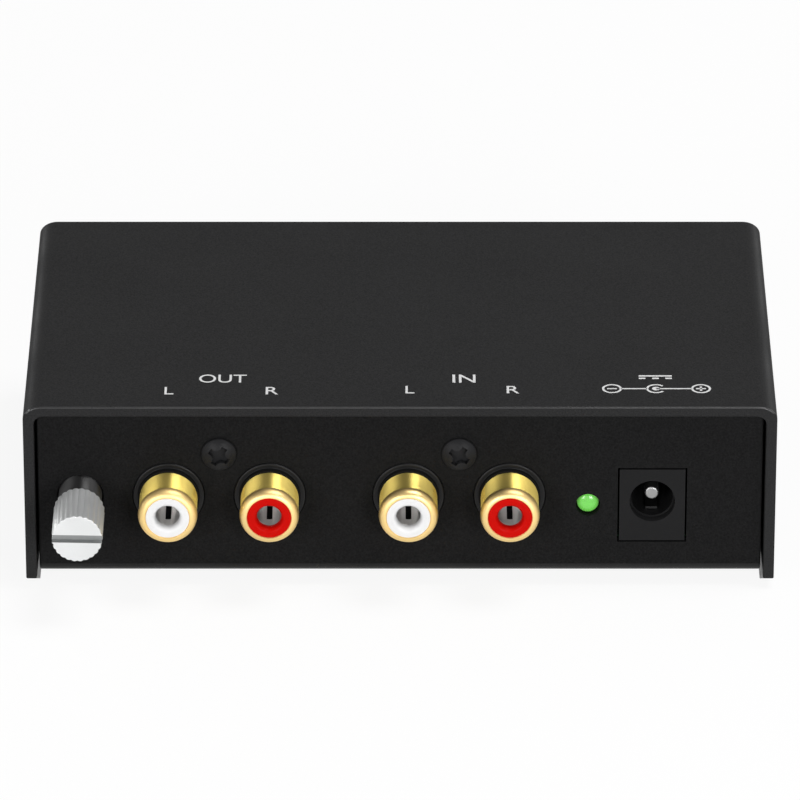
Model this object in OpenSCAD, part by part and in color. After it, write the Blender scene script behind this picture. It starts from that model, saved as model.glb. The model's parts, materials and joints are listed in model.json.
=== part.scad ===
// Two-channel phono preamplifier in a folded sheet-metal case.
// The origin is on the surface it stands on, under the middle of the overall box.
// X runs to the right seen from the front, Y from the front panel to the back, Z up.
// A phrase such as "proud" or "reach" is a distance in front of the front panel's face.

/* [Cover] */
// Outside width of the cover
cover_w = 104; // [102:1:130]
// Depth of the cover, front edge to back edge
cover_d = 60; // [50:1:90]
// Height of the cover from its lower edge to its top
cover_h = 26.7; // [25.5:0.1:34]
// Thickness of the cover's sheet
cover_t = 1.5; // [1:0.1:1.8]
// Outside radius of the cover's two bends
cover_bend_r = 2.6; // [2.2:0.1:5]
// Rounding of the cut edges of both sheets
edge_r = 0.3; // [0.1:0.05:0.45]
// Rounding of the cover's lower corners
leg_corner_r = 0.45; // [0.2:0.05:0.7]
// Rounding along the cover's lower edges
leg_end_r = 0.4; // [0.2:0.05:0.45]

/* [Tray] */
// Thickness of the tray's sheet
tray_t = 1.2; // [0.8:0.1:1.5]
// Outside radius of the tray's bends
tray_bend_r = 1.8; // [1.6:0.1:3]
// How far the tray's underside is above the cover's lower edge
tray_rise = 0.4; // [0:0.1:1]
// Gap between the tray and the inside of the cover
tray_gap = 0.36; // [0.2:0.02:0.8]
// How far the front and back panels sit inside the cover's edges
panel_inset = 0.9; // [0.5:0.1:3]
// Distance from a panel's inner face to the end of a side flange
flange_inset = 13; // [12.5:0.5:15]
// Reach of the side flanges above the cover screws' axes
flange_over = 3.9; // [2.5:0.1:6]
// Width of the relief slot at each end of a side flange
relief_w = 0.8; // [0.5:0.1:1.5]

/* [Fasteners] */
// Diameter of the machine screws that hold the cover and the board
screw_d = 3; // [2.5:0.1:3.4]
// Head diameter of the countersunk cover screws
cover_screw_head_d = 5.6; // [5:0.1:6.2]
// Head depth of the countersunk cover screws
cover_screw_head_h = 1.3; // [1:0.05:1.4]
// Length of a cover screw, head included
cover_screw_len = 5; // [4:0.5:7]
// Height of the cover screws' axes above the board
cover_screw_rise = 2.4; // [2.2:0.1:5]
// Distance of a cover screw from the end of its flange
cover_screw_inset = 4; // [3.5:0.5:6]
// Clearance around a head in its countersink
head_gap = 0.08; // [0.05:0.01:0.2]
// How deep a cover screw's head lies below the cover's face
head_sink = 0.1; // [0.05:0.05:0.2]
// Radial clearance of a screw in a plain hole
screw_gap = 0.16; // [0.1:0.02:0.2]
// Depth of the cross recesses
recess_depth = 0.85; // [0.6:0.05:0.95]
// Head diameter of the board screws
board_screw_head_d = 5.5; // [5:0.1:6]
// Head height of the board screws
board_screw_head_h = 1.8; // [1.2:0.1:2.4]
// Height of the rubber feet
foot_h = 2; // [1.5:0.1:5]
// Diameter of the rubber feet
foot_d = 9; // [6:0.5:12]
// Distance from a foot's centre to the cover's side
foot_inset_x = 14; // [13:0.5:20]
// Distance from a foot's centre to the cover's front or back edge
foot_inset_y = 12; // [11:0.5:16]

/* [Board] */
// Thickness of the circuit board
board_t = 1.6; // [1:0.1:2]
// Height of the spacers under the board
spacer_h = 2.4; // [2.2:0.1:4]
// Width of the hexagonal spacers across flats
spacer_af = 5; // [4.5:0.1:6]
// Gap between the board's edges and the tray's flanges and panels
board_gap = 0.6; // [0.3:0.1:1.5]
// Distance from a board screw to the board's side edge
board_screw_inset = 4.2; // [3.5:0.1:6]
// Distance from the front panel's inner face to the front board screws
board_screw_front = 23; // [22:0.5:26]
// How far component leads pass through the board
lead_proud = 1.2; // [0.8:0.1:1.5]
// Diameter of the round component leads
lead_d = 0.6; // [0.4:0.05:0.8]
// Radial clearance of a lead in its hole
lead_gap = 0.15; // [0.05:0.05:0.2]

/* [Phono jacks] */
// Distance between the two jacks of a pair
jack_pitch = 14; // [13:0.5:16]
// Distance from the level control's axis to the middle of the output pair
output_from_pot = 19.25; // [19:0.25:21]
// Distance between the middles of the output pair and the input pair
pair_spacing = 33.2; // [32:0.2:34]
// Height of the jack axes above the board
jack_rise = 7.05; // [6.5:0.05:8]
// Outside diameter of the gold-plated shell
shell_d = 8.1; // [7.9:0.05:8.4]
// Diameter of the shell where it is seated in the body
shell_seat_d = 7.7; // [7.4:0.05:7.8]
// How far the shell and its insert reach into the hollow back of the body
shell_tail_l = 2; // [1.8:0.1:2.5]
// Reach of the shell in front of the front panel
shell_reach = 7.05; // [6:0.05:9]
// Radius of the shell's rolled front edge
shell_roll_r = 0.85; // [0.5:0.05:0.9]
// Length of the rolled head, up to the groove behind it
shell_head_l = 1.3; // [1:0.1:2]
// Depth of the groove behind the head
shell_groove = 0.1; // [0.05:0.01:0.15]
// Length of the steep step from the head down into the groove
shell_step_l = 0.03; // [0.02:0.01:0.1]
// Length over which the groove rises again towards the panel
shell_groove_l = 0.3; // [0.1:0.05:0.6]
// Diameter of the plastic insert inside the shell
insert_d = 6.05; // [5.8:0.05:6.4]
// Chamfer round the insert's front edge
insert_edge = 0.12; // [0.05:0.01:0.2]
// Mouth diameter of the funnel in the insert
funnel_d = 4.5; // [4:0.1:5]
// Depth of the funnel
funnel_l = 0.9; // [0.5:0.1:1.5]
// Length of the straight throat between the funnel and the sleeve
throat_l = 0.25; // [0.1:0.05:0.5]
// Bore that takes the plug's centre pin
pin_bore_d = 3.32; // [3.2:0.02:3.5]
// Wall of the sprung sleeve behind the funnel
sleeve_t = 0.4; // [0.3:0.05:0.5]
// Length of the sprung sleeve
sleeve_l = 7; // [6:0.5:7]
// Thickness of the sleeve's closed back
sleeve_floor_t = 0.5; // [0.3:0.1:0.8]
// Width of the slit along the sleeve
slit_w = 0.8; // [0.5:0.05:1]
// Distance from the sleeve's front to the slit
slit_start = 1.8; // [1:0.1:2.5]
// Diameter of the collar round the foot of the shell
collar_d = 8.55; // [8.5:0.05:9]
// Reach of that collar in front of the panel
collar_reach = 1.07; // [0.5:0.01:1.5]
// Diameter of the body's boss in the panel hole
boss_d = 9.9; // [9.5:0.05:10.4]
// Reach of the boss in front of the panel
boss_reach = 0.2; // [0.1:0.05:0.5]
// Chamfer round the boss's rim
boss_edge = 0.15; // [0.05:0.05:0.2]
// Radial clearance of the boss in the panel hole
boss_gap = 0.08; // [0.05:0.01:0.2]
// Width of a jack body, which holds two jacks
jack_body_w = 25.4; // [24:0.2:26]
// Height of a jack body
jack_body_h = 15.2; // [14:0.2:16]
// Depth of a jack body behind the panel
jack_body_d = 10; // [9.5:0.5:12]
// Width of the hollow in a jack body's back behind each jack
jack_hollow_w = 9.1; // [8.4:0.1:9.6]
// Thickness of the moulding above the hollows
jack_roof_t = 3.4; // [3:0.1:4]
// Depth of the solid front of a jack body
jack_front_t = 5; // [4:0.5:6]
// Height of the jack screw above the jack axes
jack_screw_rise = 6.5; // [6:0.1:6.6]
// Head diameter of the jack screws
jack_screw_head_d = 4.8; // [4.4:0.1:5.2]
// Head height of the jack screws
jack_screw_head_h = 1.35; // [1:0.05:1.8]
// Shank diameter of the jack screws
jack_screw_d = 2.6; // [2.2:0.1:2.9]
// Length of the jack screws under the head
jack_screw_len = 8; // [6:0.5:9]
// Span of the cross recess
recess_span = 2.7; // [2.2:0.1:3]
// Width of an arm of the cross recess
recess_w = 0.75; // [0.5:0.05:0.9]
// Angle at which the cross recesses have come to rest
recess_angle = 57; // [0:1:89]

/* [Power socket and lamp] */
// Distance from the power socket's centre to the cover's right side
dc_from_side = 17.05; // [16:0.05:20]
// Width of the power socket's face
dc_w = 9.1; // [8.8:0.05:9.4]
// Height of the power socket's face
dc_h = 11; // [10.5:0.1:11.6]
// Overall depth of the power socket
dc_depth = 14.2; // [13:0.1:15]
// Depth of the full-height front block of the power socket
dc_block_d = 3.4; // [3:0.1:4]
// Gap between the socket and its cut-out in the panel
dc_gap = 0.24; // [0.1:0.02:0.4]
// Height of the socket's bore above the board
dc_bore_rise = 6.1; // [5.6:0.05:6.4]
// Diameter of the socket's mouth
dc_mouth_d = 6.3; // [6:0.05:6.5]
// Depth of the mouth, up to the step
dc_mouth_l = 1.4; // [1:0.1:2]
// Diameter of the socket's bore behind the step
dc_bore_d = 5.8; // [5.6:0.05:6]
// Depth of the bore behind the face
dc_bore_l = 10.5; // [10:0.1:11]
// Diameter of the centre pin
dc_pin_d = 2; // [1.6:0.1:2.5]
// Distance from the face to the tip of the centre pin
dc_pin_set = 2.4; // [2:0.1:3]
// Rounding of the centre pin's tip
dc_pin_tip_r = 0.3; // [0.1:0.05:0.5]
// Depth of the notch for the pin's tail in the socket's back
dc_notch_d = 1; // [0.8:0.1:1.2]
// Thickness of the spring strip in the floor of the bore
dc_strip_t = 0.3; // [0.2:0.05:0.4]
// Length of the spring strip in front of its tail
dc_strip_l = 4.4; // [3:0.1:5]
// Diameter of the pin's shank, seated behind the bore
dc_shank_d = 2.6; // [2.6:0.1:3.2]
// Distance from the power socket to the lamp
lamp_from_dc = 8.9; // [8.5:0.1:9.4]
// Height of the lamp's axis above the board
lamp_rise = 5.5; // [5:0.1:6.5]
// Diameter of the lamp's lens
lamp_d = 3; // [2.8:0.05:3.2]
// Diameter of the lamp's hole in the panel
lamp_hole_d = 3.4; // [3.3:0.05:3.8]
// Distance from the panel's face back to the front of the lens
lamp_set = 0.35; // [0.1:0.05:0.6]
// Length of the lens
lamp_l = 5.2; // [5:0.1:6]
// Length of the lens's domed front
lamp_dome_l = 0.7; // [0.4:0.1:1.4]
// Width of the flange round the lens's back
lamp_flange_w = 0.4; // [0.3:0.05:0.6]
// Length of that flange
lamp_flange_l = 0.8; // [0.6:0.1:1]
// Gap between the flange and the holder in front of it
lamp_flange_gap = 0.2; // [0.1:0.05:0.3]
// Thickness of the black holder behind the panel
holder_t = 2.6; // [2:0.1:2.8]
// Size across the black holder behind the lamp
holder_w = 4.6; // [4.2:0.1:5]

/* [Level control] */
// Distance from the control's axis to the cover's left side
pot_from_side = 7.72; // [7.5:0.02:9]
// Height of the control's axis above the board
pot_rise = 6.9; // [6.5:0.05:7.5]
// Diameter of the control's shaft
shaft_d = 6; // [5:0.1:6.2]
// Running clearance of the shaft in its bearing, on the radius
shaft_gap = 0.04; // [0.02:0.01:0.08]
// Diameter of the shaft's hole in the front panel
shaft_hole_d = 6.5; // [6.4:0.1:8]
// Depth of the flat on the shaft's end, inside the knob
shaft_flat = 1.5; // [0.8:0.1:2]
// Length of shaft that shows between the panel and the knob
neck_l = 4.3; // [2:0.1:6]
// Length of the knob
knob_l = 8.6; // [6:0.1:12]
// Diameter of the knob over its teeth
knob_d = 7; // [6.9:0.05:9]
// Depth of the knob's teeth
tooth_depth = 0.14; // [0.1:0.02:0.3]
// Number of teeth round the knob
tooth_count = 24; // [16:1:36]
// Chamfer of the teeth at both ends of the knob
knob_edge = 0.12; // [0.05:0.01:0.2]
// Width of the screwdriver slot across the knob's face
slot_w = 1.17; // [0.8:0.01:1.6]
// Depth of the screwdriver slot
slot_depth = 1; // [0.5:0.1:1.6]
// Angle of the slot in the middle of the knob's travel
slot_angle = -1.1; // [-5:0.1:5]
// Thickness of the solid end of the knob
knob_end_t = 2; // [1.8:0.1:3]
// Width of the control's case
pot_w = 9.8; // [9:0.1:10.5]
// Height of the control's case above the board
pot_h = 11.4; // [11:0.1:12.5]
// Depth of the control's case
pot_d = 11; // [10:0.5:12]
// Thickness of the steel frame in front of the case
pot_frame_t = 1; // [0.8:0.1:1.2]
// Thickness of the case's front and back walls
pot_wall = 1; // [0.8:0.1:1.2]
// Thickness of the wall between the two chambers
pot_divider = 0.8; // [0.6:0.1:1]
// Bore of the two chambers in the case
chamber_d = 8.4; // [8:0.1:8.6]
// Length of one chamber
chamber_l = 3.6; // [3.2:0.1:4]
// Thickness of a resistance track
track_t = 0.8; // [0.6:0.1:1]
// Diameter of the shaft inside the case
core_d = 3.4; // [3:0.1:4]
// Thickness of a wiper disc
wiper_t = 1; // [0.8:0.1:1.4]
// Diameter of a wiper's contact finger
finger_d = 0.7; // [0.5:0.1:1]
// Gap round every turning part in the case
turning_gap = 0.3; // [0.2:0.05:0.4]

/* [Parts on the board] */
// Length of an amplifier chip
chip_l = 9.6; // [9:0.1:10]
// Width of an amplifier chip
chip_w = 6.4; // [6:0.1:6.6]
// Height of an amplifier chip
chip_h = 3.3; // [3:0.1:3.6]
// Gap under an amplifier chip
chip_lift = 0.5; // [0.3:0.1:0.8]
// Distance between the legs of a chip
leg_pitch = 2.54; // [2.54]
// Distance between the two rows of legs
leg_span = 7.62; // [7.62]
// Diameter of a signal capacitor
signal_cap_d = 5; // [4:0.5:6.5]
// Height of a signal capacitor
signal_cap_h = 7.5; // [5:0.5:11]
// Diameter of a supply capacitor
supply_cap_d = 8; // [6:0.5:9]
// Height of a supply capacitor
supply_cap_h = 12; // [8:0.5:14]
// Length of a film capacitor
film_cap_l = 7.2; // [6.5:0.1:8]
// Width of a film capacitor
film_cap_w = 3; // [2.5:0.1:4]
// Height of a film capacitor
film_cap_h = 6.5; // [5:0.5:9]
// Length of a resistor's body
resistor_l = 6.3; // [5:0.1:7]
// Diameter of a resistor's body
resistor_d = 2.3; // [1.8:0.1:2.5]
// Distance between a resistor's bent leads
resistor_span = 10.16; // [10:0.02:12]
// Length of the supply diode's body
diode_l = 5.2; // [4:0.1:6]
// Radius of the regulator's round back
regulator_r = 2.4; // [2.2:0.1:2.6]
// Height of the regulator's case
regulator_h = 4.8; // [4.4:0.1:5.2]
// Height of the regulator's case above the board
regulator_lift = 2.5; // [1.5:0.1:4]

/* [Hidden] */
$fn = 64;

// A cut runs this far past the face it opens
over = 0.5;
// Two cuts that meet run this far into each other
seam = 0.001;
// Radial clearance of a piece that is pushed into its seat by hand
seat_gap = 0.02;

// Along Y: the overall box runs from the knob's face to the cover's back edge
knob_reach = neck_l + knob_l;
front_y = (knob_reach - panel_inset - cover_d) / 2;
panel_y = front_y + panel_inset;
inner_y = panel_y + tray_t;
back_y = front_y + cover_d - panel_inset;
back_inner_y = back_y - tray_t;

// Along Z
base_z = foot_h - tray_rise;
floor_z = foot_h + tray_t;
board_z = floor_z + spacer_h;
top_z = board_z + board_t;
jack_z = top_z + jack_rise;
jack_screw_z = jack_z + jack_screw_rise;
cover_screw_z = top_z + cover_screw_rise;
pot_z = top_z + pot_rise;
lamp_z = top_z + lamp_rise;
dc_z = top_z + dc_bore_rise;

// Along X
tray_w = cover_w - 2 * (cover_t + tray_gap);
tray_h = cover_h - cover_t - tray_gap - tray_rise;
pot_x = pot_from_side - cover_w / 2;
output_x = pot_x + output_from_pot;
input_x = output_x + pair_spacing;
dc_x = cover_w / 2 - dc_from_side;
lamp_x = dc_x - lamp_from_dc;
jack_xs = [
    output_x - jack_pitch / 2, output_x + jack_pitch / 2,
    input_x - jack_pitch / 2, input_x + jack_pitch / 2
];

// The board and what is fixed to it
board_w = tray_w - 2 * (tray_t + board_gap);
board_y0 = inner_y + board_gap;
board_y1 = back_inner_y - board_gap;
board_screw_x = board_w / 2 - board_screw_inset;
board_screw_ys = [inner_y + board_screw_front, board_y1 - board_screw_inset];

// The free part of the board, behind the jacks
work_y0 = inner_y + jack_body_d;
work_d = board_y1 - work_y0;
function row(part) = work_y0 + part * work_d;
chip_xs = [output_x + 3, input_x + 2];
signal_caps = [for (x = jack_xs) [x, row(0.12)]];
supply_caps = [[dc_x - 1, row(0.42)], [dc_x - 1, row(0.68)]];
film_caps = [for (c = chip_xs) for (side = [-1, 1]) [c + side * 5.5, row(0.72)]];
resistor_spots = [for (c = chip_xs) for (side = [-1, 1]) for (r = [0.28, 0.9]) [c + side * 6.2, row(r)]];
diode_spot = [lamp_x + 1.5, row(0.3)];
regulator_spot = [lamp_x - 1, row(0.72)];
regulator_pitch = 1.27;

// The tails of the jacks, the socket, the lamp and the control, as [x, y]
tail_w = 1.6;
tail_t = 0.5;
tail_sink = 0.12;
shell_back = -tray_t - jack_front_t - shell_tail_l;
shell_tail_y = inner_y + jack_front_t + shell_tail_l / 2;
contact_tail_y = inner_y + jack_body_d - 1;
dc_back_y = panel_y + dc_depth;
dc_pin_tail_y = dc_back_y - dc_notch_d;
dc_spring_tail_y = panel_y + 7.6;
dc_switch_tail = [dc_x + dc_w / 2 - 0.6, panel_y + 10.6];
dc_switch_h = dc_bore_rise - 1;
lamp_tail_y = panel_y + lamp_set + lamp_l + 1.6;
pot_front_y = inner_y + turning_gap;
pot_case_y = pot_front_y + pot_frame_t;
pot_pin_ys = [pot_case_y + 2.6, pot_case_y + 8.4];
pot_pin_pitch = 2.5;
pin_w = 0.8;
pin_t = 0.3;
pot_pin_h = pot_rise - chamber_d / 2 - turning_gap;

function arc(cx, cy, r, a0, a1, n) =
    [for (i = [0:n]) let (a = a0 + (a1 - a0) * i / n) [cx + r * cos(a), cy + r * sin(a)]];

function rounded_rect(w, d, r, n = 4) = concat(
    arc(w - r, d - r, r, 0, 90, n),
    arc(r, d - r, r, 90, 180, n),
    arc(r, r, r, 180, 270, n),
    arc(w - r, r, r, 270, 360, n)
);

// Local Z points out of the front panel and local Y points up
module out_of_panel(x, z, y = panel_y) {
    translate([x, y, z]) rotate([90, 0, 0]) children();
}

// A hole through the board, with its wall a little clear of the lead
module lead_hole(p, d = lead_d) {
    translate([p[0], p[1], board_z - over])
        cylinder(d = d + 2 * lead_gap, h = board_t + 2 * over);
}

// ---------------------------------------------------------------- sheet metal

module sheet_edge(t, len) {
    polygon(rounded_rect(t, len, edge_r));
}

// A quarter bend round the Y axis, from the wall at -X to the web at +Z
module sheet_bend(len, t, r) {
    rotate([-90, 0, 0]) rotate([0, 0, 180])
        rotate_extrude(angle = 90) translate([r - t, 0]) sheet_edge(t, len);
}

// An inverted U folded from one sheet: two walls, two bends and a web
module folded_channel(w, h, len, t, r) {
    for (side = [0, 1]) mirror([side, 0, 0]) {
        translate([-w / 2, 0, 0]) linear_extrude(h - r) sheet_edge(t, len);
        translate([r - w / 2, 0, h - r]) sheet_bend(len, t, r);
    }
    translate([r - w / 2, 0, h]) rotate([0, 90, 0])
        linear_extrude(w - 2 * r) sheet_edge(t, len);
}

// What is cut off a square corner to round it, along Z for len
module corner_cutter(r, len) {
    linear_extrude(len)
        polygon(concat([[-over, -over], [r, -over]], arc(r, r, r, 270, 180, 5), [[-over, r]]));
}

module cover_screw_spots() {
    inset = flange_inset + cover_screw_inset;
    for (side = [-1, 1], y = [inner_y + inset, back_inner_y - inset])
        translate([side * cover_w / 2, y, cover_screw_z])
            rotate([0, -90 * side, 0]) children();
}

// Rounds the lower end of the cover's wall at +X: its two corners and its two long edges
module leg_end_cutters() {
    for (end = [0, 1])
        translate([cover_w / 2 - cover_t - over, front_y + cover_d / 2, base_z])
        mirror([0, end, 0])
        translate([0, -cover_d / 2, 0])
        rotate([0, 90, 0]) rotate([0, 0, 90])
        corner_cutter(leg_corner_r, cover_t + 2 * over);
    for (face = [0, 1])
        translate([cover_w / 2 - face * cover_t, front_y + cover_d + over, base_z])
        rotate([90, 0, 0]) mirror([1 - face, 0, 0])
        corner_cutter(leg_end_r, cover_d + 2 * over);
}

module top_cover() {
    color([0.19, 0.19, 0.20])
    difference() {
        translate([0, front_y, base_z])
            folded_channel(cover_w, cover_h, cover_d, cover_t, cover_bend_r);
        for (side = [0, 1]) mirror([side, 0, 0]) leg_end_cutters();
        cover_screw_spots() {
            cylinder(d = screw_d + 2 * screw_gap, h = cover_t + over);
            translate([0, 0, -over])
                cylinder(d = cover_screw_head_d + 2 * head_gap, h = over + head_sink);
            translate([0, 0, head_sink - seam])
                cylinder(
                    d1 = cover_screw_head_d + 2 * head_gap,
                    d2 = screw_d + 2 * head_gap,
                    h = cover_screw_head_h
                );
        }
    }
}

module cover_screws() {
    color([0.12, 0.12, 0.13])
    cover_screw_spots() difference() {
        union() {
            translate([0, 0, head_sink])
                cylinder(d1 = cover_screw_head_d, d2 = screw_d, h = cover_screw_head_h);
            translate([0, 0, head_sink]) cylinder(d = screw_d, h = cover_screw_len);
        }
        mirror([0, 0, 1]) cross_recess(-head_sink, 0);
    }
}

module side_flange() {
    len = back_inner_y - inner_y - 2 * flange_inset;
    translate([-tray_w / 2, inner_y + flange_inset, foot_h]) {
        translate([tray_bend_r, 0, tray_bend_r])
            mirror([0, 0, 1]) sheet_bend(len, tray_t, tray_bend_r);
        translate([0, 0, tray_bend_r])
            linear_extrude(cover_screw_z + flange_over - foot_h - tray_bend_r)
            sheet_edge(tray_t, len);
    }
}

module panel_holes() {
    out_of_panel(0, 0) translate([0, 0, -tray_t - over]) {
        depth = tray_t + 2 * over;
        translate([pot_x, pot_z]) cylinder(d = shaft_hole_d, h = depth);
        for (x = jack_xs) translate([x, jack_z])
            cylinder(d = boss_d + 2 * boss_gap, h = depth);
        for (x = [output_x, input_x]) translate([x, jack_screw_z])
            cylinder(d = jack_screw_d + 2 * screw_gap, h = depth);
        translate([lamp_x, lamp_z]) cylinder(d = lamp_hole_d, h = depth);
        translate([dc_x - dc_w / 2 - dc_gap, top_z - dc_gap])
            cube([dc_w + 2 * dc_gap, dc_h + 2 * dc_gap, depth]);
    }
}

module bottom_tray() {
    relief = flange_inset - relief_w;
    color([0.13, 0.13, 0.13])
    difference() {
        union() {
            difference() {
                translate([-tray_w / 2, front_y + cover_d / 2, foot_h + tray_h])
                    rotate(a = 180, v = [1, 1, 0])
                    folded_channel(back_y - panel_y, tray_h, tray_w, tray_t, tray_bend_r);
                for (side = [0, 1]) mirror([side, 0, 0])
                    translate([-tray_w / 2 - over, inner_y + relief, foot_h - over])
                        cube([
                            tray_bend_r + over,
                            back_inner_y - inner_y - 2 * relief,
                            tray_t + 2 * over
                        ]);
            }
            for (side = [0, 1]) mirror([side, 0, 0]) side_flange();
        }
        panel_holes();
        cover_screw_spots() cylinder(d = screw_d, h = 2 * cover_screw_len);
        for (x = [-board_screw_x, board_screw_x], y = board_screw_ys)
            translate([x, y, foot_h - over]) cylinder(d = screw_d, h = tray_t + 2 * over);
    }
}

module rubber_feet() {
    round_r = 0.6;
    color([0.07, 0.07, 0.07])
    for (sx = [-1, 1], y = [front_y + foot_inset_y, front_y + cover_d - foot_inset_y])
        translate([sx * (cover_w / 2 - foot_inset_x), y, 0])
            rotate_extrude()
            polygon(concat(
                [[0, 0]],
                arc(foot_d / 2 - round_r, round_r, round_r, 270, 360, 5),
                [[foot_d / 2, foot_h], [0, foot_h]]
            ));
}

// ---------------------------------------------------------------- board

module board_spacers() {
    color([0.75, 0.72, 0.6])
    for (x = [-board_screw_x, board_screw_x], y = board_screw_ys)
        translate([x, y, floor_z]) difference() {
            cylinder(d = spacer_af / cos(30), h = spacer_h, $fn = 6);
            translate([0, 0, -over]) cylinder(d = screw_d, h = spacer_h + 2 * over);
        }
}

module board_screws() {
    color([0.7, 0.7, 0.72])
    for (x = [-board_screw_x, board_screw_x], y = board_screw_ys)
        translate([x, y, top_z]) difference() {
            union() {
                pan_head(board_screw_head_d, board_screw_head_h);
                translate([0, 0, foot_h - top_z])
                    cylinder(d = screw_d, h = top_z - foot_h);
            }
            cross_recess(board_screw_head_h, 0);
        }
}

// A low domed head that sits on z = 0
module pan_head(d, h) {
    side_h = h * 0.35;
    rise = h - side_h;
    ball_r = (d * d / 4 + rise * rise) / (2 * rise);
    half = asin(d / 2 / ball_r);
    rotate_extrude()
        polygon(concat(
            [[0, 0], [d / 2, 0]],
            arc(0, h - ball_r, ball_r, 90 - half, 90, 8)
        ));
}

// A cross recess cut down from a head's top at z = head_h
module cross_recess(head_h, angle) {
    for (a = [0, 90]) rotate(angle + a)
        translate([-recess_span / 2, -recess_w / 2, head_h - recess_depth])
            cube([recess_span, recess_w, recess_depth + over]);
}

module circuit_board() {
    color([0.1, 0.32, 0.16])
    difference() {
        translate([-board_w / 2, board_y0, board_z])
            cube([board_w, board_y1 - board_y0, board_t]);
        for (x = [-board_screw_x, board_screw_x], y = board_screw_ys)
            translate([x, y, board_z - over])
                cylinder(d = screw_d + 2 * screw_gap, h = board_t + 2 * over);
        for (p = lead_spots()) lead_hole(p);
        for (p = leg_spots()) lead_hole(p);
        for (p = tail_spots()) lead_hole(p, tail_w);
        for (p = pin_spots()) lead_hole(p, pin_w);
    }
}

// ---------------------------------------------------------------- phono jacks

module shell_profile() {
    r = shell_d / 2;
    seat_r = shell_seat_d / 2;
    groove_s = shell_reach - shell_head_l;
    polygon(concat(
        [[insert_d / 2, shell_back], [seat_r, shell_back], [seat_r, collar_reach]],
        [
            [r, collar_reach],
            [r, groove_s - shell_groove_l],
            [r - shell_groove, groove_s],
            [r, groove_s + shell_step_l]
        ],
        arc(r - shell_roll_r, shell_reach - shell_roll_r, shell_roll_r, 0, 90, 8),
        [[insert_d / 2, shell_reach]]
    ));
}

// Gold-plated shell with its solder tail
module jack_shell(x) {
    color([0.85, 0.68, 0.3]) {
        out_of_panel(x, jack_z) rotate_extrude() shell_profile();
        translate([x - tail_w / 2, shell_tail_y, board_z - lead_proud])
            cube([tail_w, tail_t, jack_z - shell_seat_d / 2 + tail_sink - board_z + lead_proud]);
    }
}

module output_left_shell() jack_shell(jack_xs[0]);
module output_right_shell() jack_shell(jack_xs[1]);
module input_left_shell() jack_shell(jack_xs[2]);
module input_right_shell() jack_shell(jack_xs[3]);

// Moulded insert: a funnel that leads the plug's pin into the sprung sleeve
module jack_insert(x, tint) {
    funnel_end = shell_reach - funnel_l;
    seat = funnel_end - throat_l;
    curve_r = (funnel_d - pin_bore_d) / 2;
    color(tint)
    out_of_panel(x, jack_z) rotate_extrude()
        polygon(concat(
            [[pin_bore_d / 2, seat], [pin_bore_d / 2, funnel_end]],
            [for (i = [1:6]) let (a = 15 * i)
                [pin_bore_d / 2 + curve_r * (1 - cos(a)), funnel_end + funnel_l * sin(a)]],
            [
                [insert_d / 2 - insert_edge, shell_reach],
                [insert_d / 2, shell_reach - insert_edge],
                [insert_d / 2, shell_back],
                [pin_bore_d / 2 + sleeve_t, shell_back],
                [pin_bore_d / 2 + sleeve_t, seat]
            ]
        ));
}

module output_left_insert() jack_insert(jack_xs[0], [0.93, 0.93, 0.93]);
module output_right_insert() jack_insert(jack_xs[1], [0.8, 0.08, 0.05]);
module input_left_insert() jack_insert(jack_xs[2], [0.93, 0.93, 0.93]);
module input_right_insert() jack_insert(jack_xs[3], [0.8, 0.08, 0.05]);

// Sprung sleeve, slit along its underside, with its tail down to the board
module jack_contact(x) {
    front = shell_reach - funnel_l - throat_l;
    sleeve_back = front - sleeve_l;
    r = pin_bore_d / 2 + sleeve_t;
    color([0.7, 0.68, 0.62])
    difference() {
        union() {
            out_of_panel(x, jack_z) translate([0, 0, sleeve_back]) cylinder(r = r, h = sleeve_l);
            translate([x - tail_w / 2, panel_y - sleeve_back - tail_sink, jack_z - tail_t / 2])
                cube([tail_w, contact_tail_y + tail_t - panel_y + sleeve_back + tail_sink, tail_t]);
            translate([x - tail_w / 2, contact_tail_y, board_z - lead_proud])
                cube([tail_w, tail_t, jack_z + tail_t / 2 - board_z + lead_proud]);
        }
        out_of_panel(x, jack_z) translate([0, 0, sleeve_back + sleeve_floor_t])
            cylinder(d = pin_bore_d, h = sleeve_l);
        out_of_panel(x, jack_z) translate([-slit_w / 2, -r - over, sleeve_back + sleeve_floor_t])
            cube([slit_w, r + over, sleeve_l - sleeve_floor_t - slit_start]);
    }
}

module output_left_contact() jack_contact(jack_xs[0]);
module output_right_contact() jack_contact(jack_xs[1]);
module input_left_contact() jack_contact(jack_xs[2]);
module input_right_contact() jack_contact(jack_xs[3]);

// One moulding holds two jacks; its back is hollow, with a rib between the jacks
module jack_body(x) {
    boss_back = -tray_t - 1;
    color([0.09, 0.09, 0.09])
    difference() {
        union() {
            translate([x - jack_body_w / 2, inner_y, top_z])
                cube([jack_body_w, jack_body_d, jack_body_h]);
            for (side = [-1, 1]) out_of_panel(x + side * jack_pitch / 2, jack_z) rotate_extrude()
                polygon([
                    [0, boss_back],
                    [boss_d / 2, boss_back],
                    [boss_d / 2, boss_reach - boss_edge],
                    [boss_d / 2 - boss_edge, boss_reach],
                    [collar_d / 2, boss_reach],
                    [collar_d / 2, collar_reach],
                    [0, collar_reach]
                ]);
        }
        for (side = [-1, 1]) {
            out_of_panel(x + side * jack_pitch / 2, jack_z)
                translate([0, 0, -tray_t - jack_front_t - over])
                cylinder(d = shell_seat_d, h = tray_t + jack_front_t + collar_reach + 2 * over);
            translate([
                x + side * jack_pitch / 2 - jack_hollow_w / 2,
                inner_y + jack_front_t,
                top_z - over
            ])
                cube([jack_hollow_w, jack_body_d, jack_body_h - jack_roof_t + over]);
        }
        out_of_panel(x, jack_screw_z) translate([0, 0, -tray_t - jack_screw_len])
            cylinder(d = jack_screw_d, h = jack_screw_len);
    }
}

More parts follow.
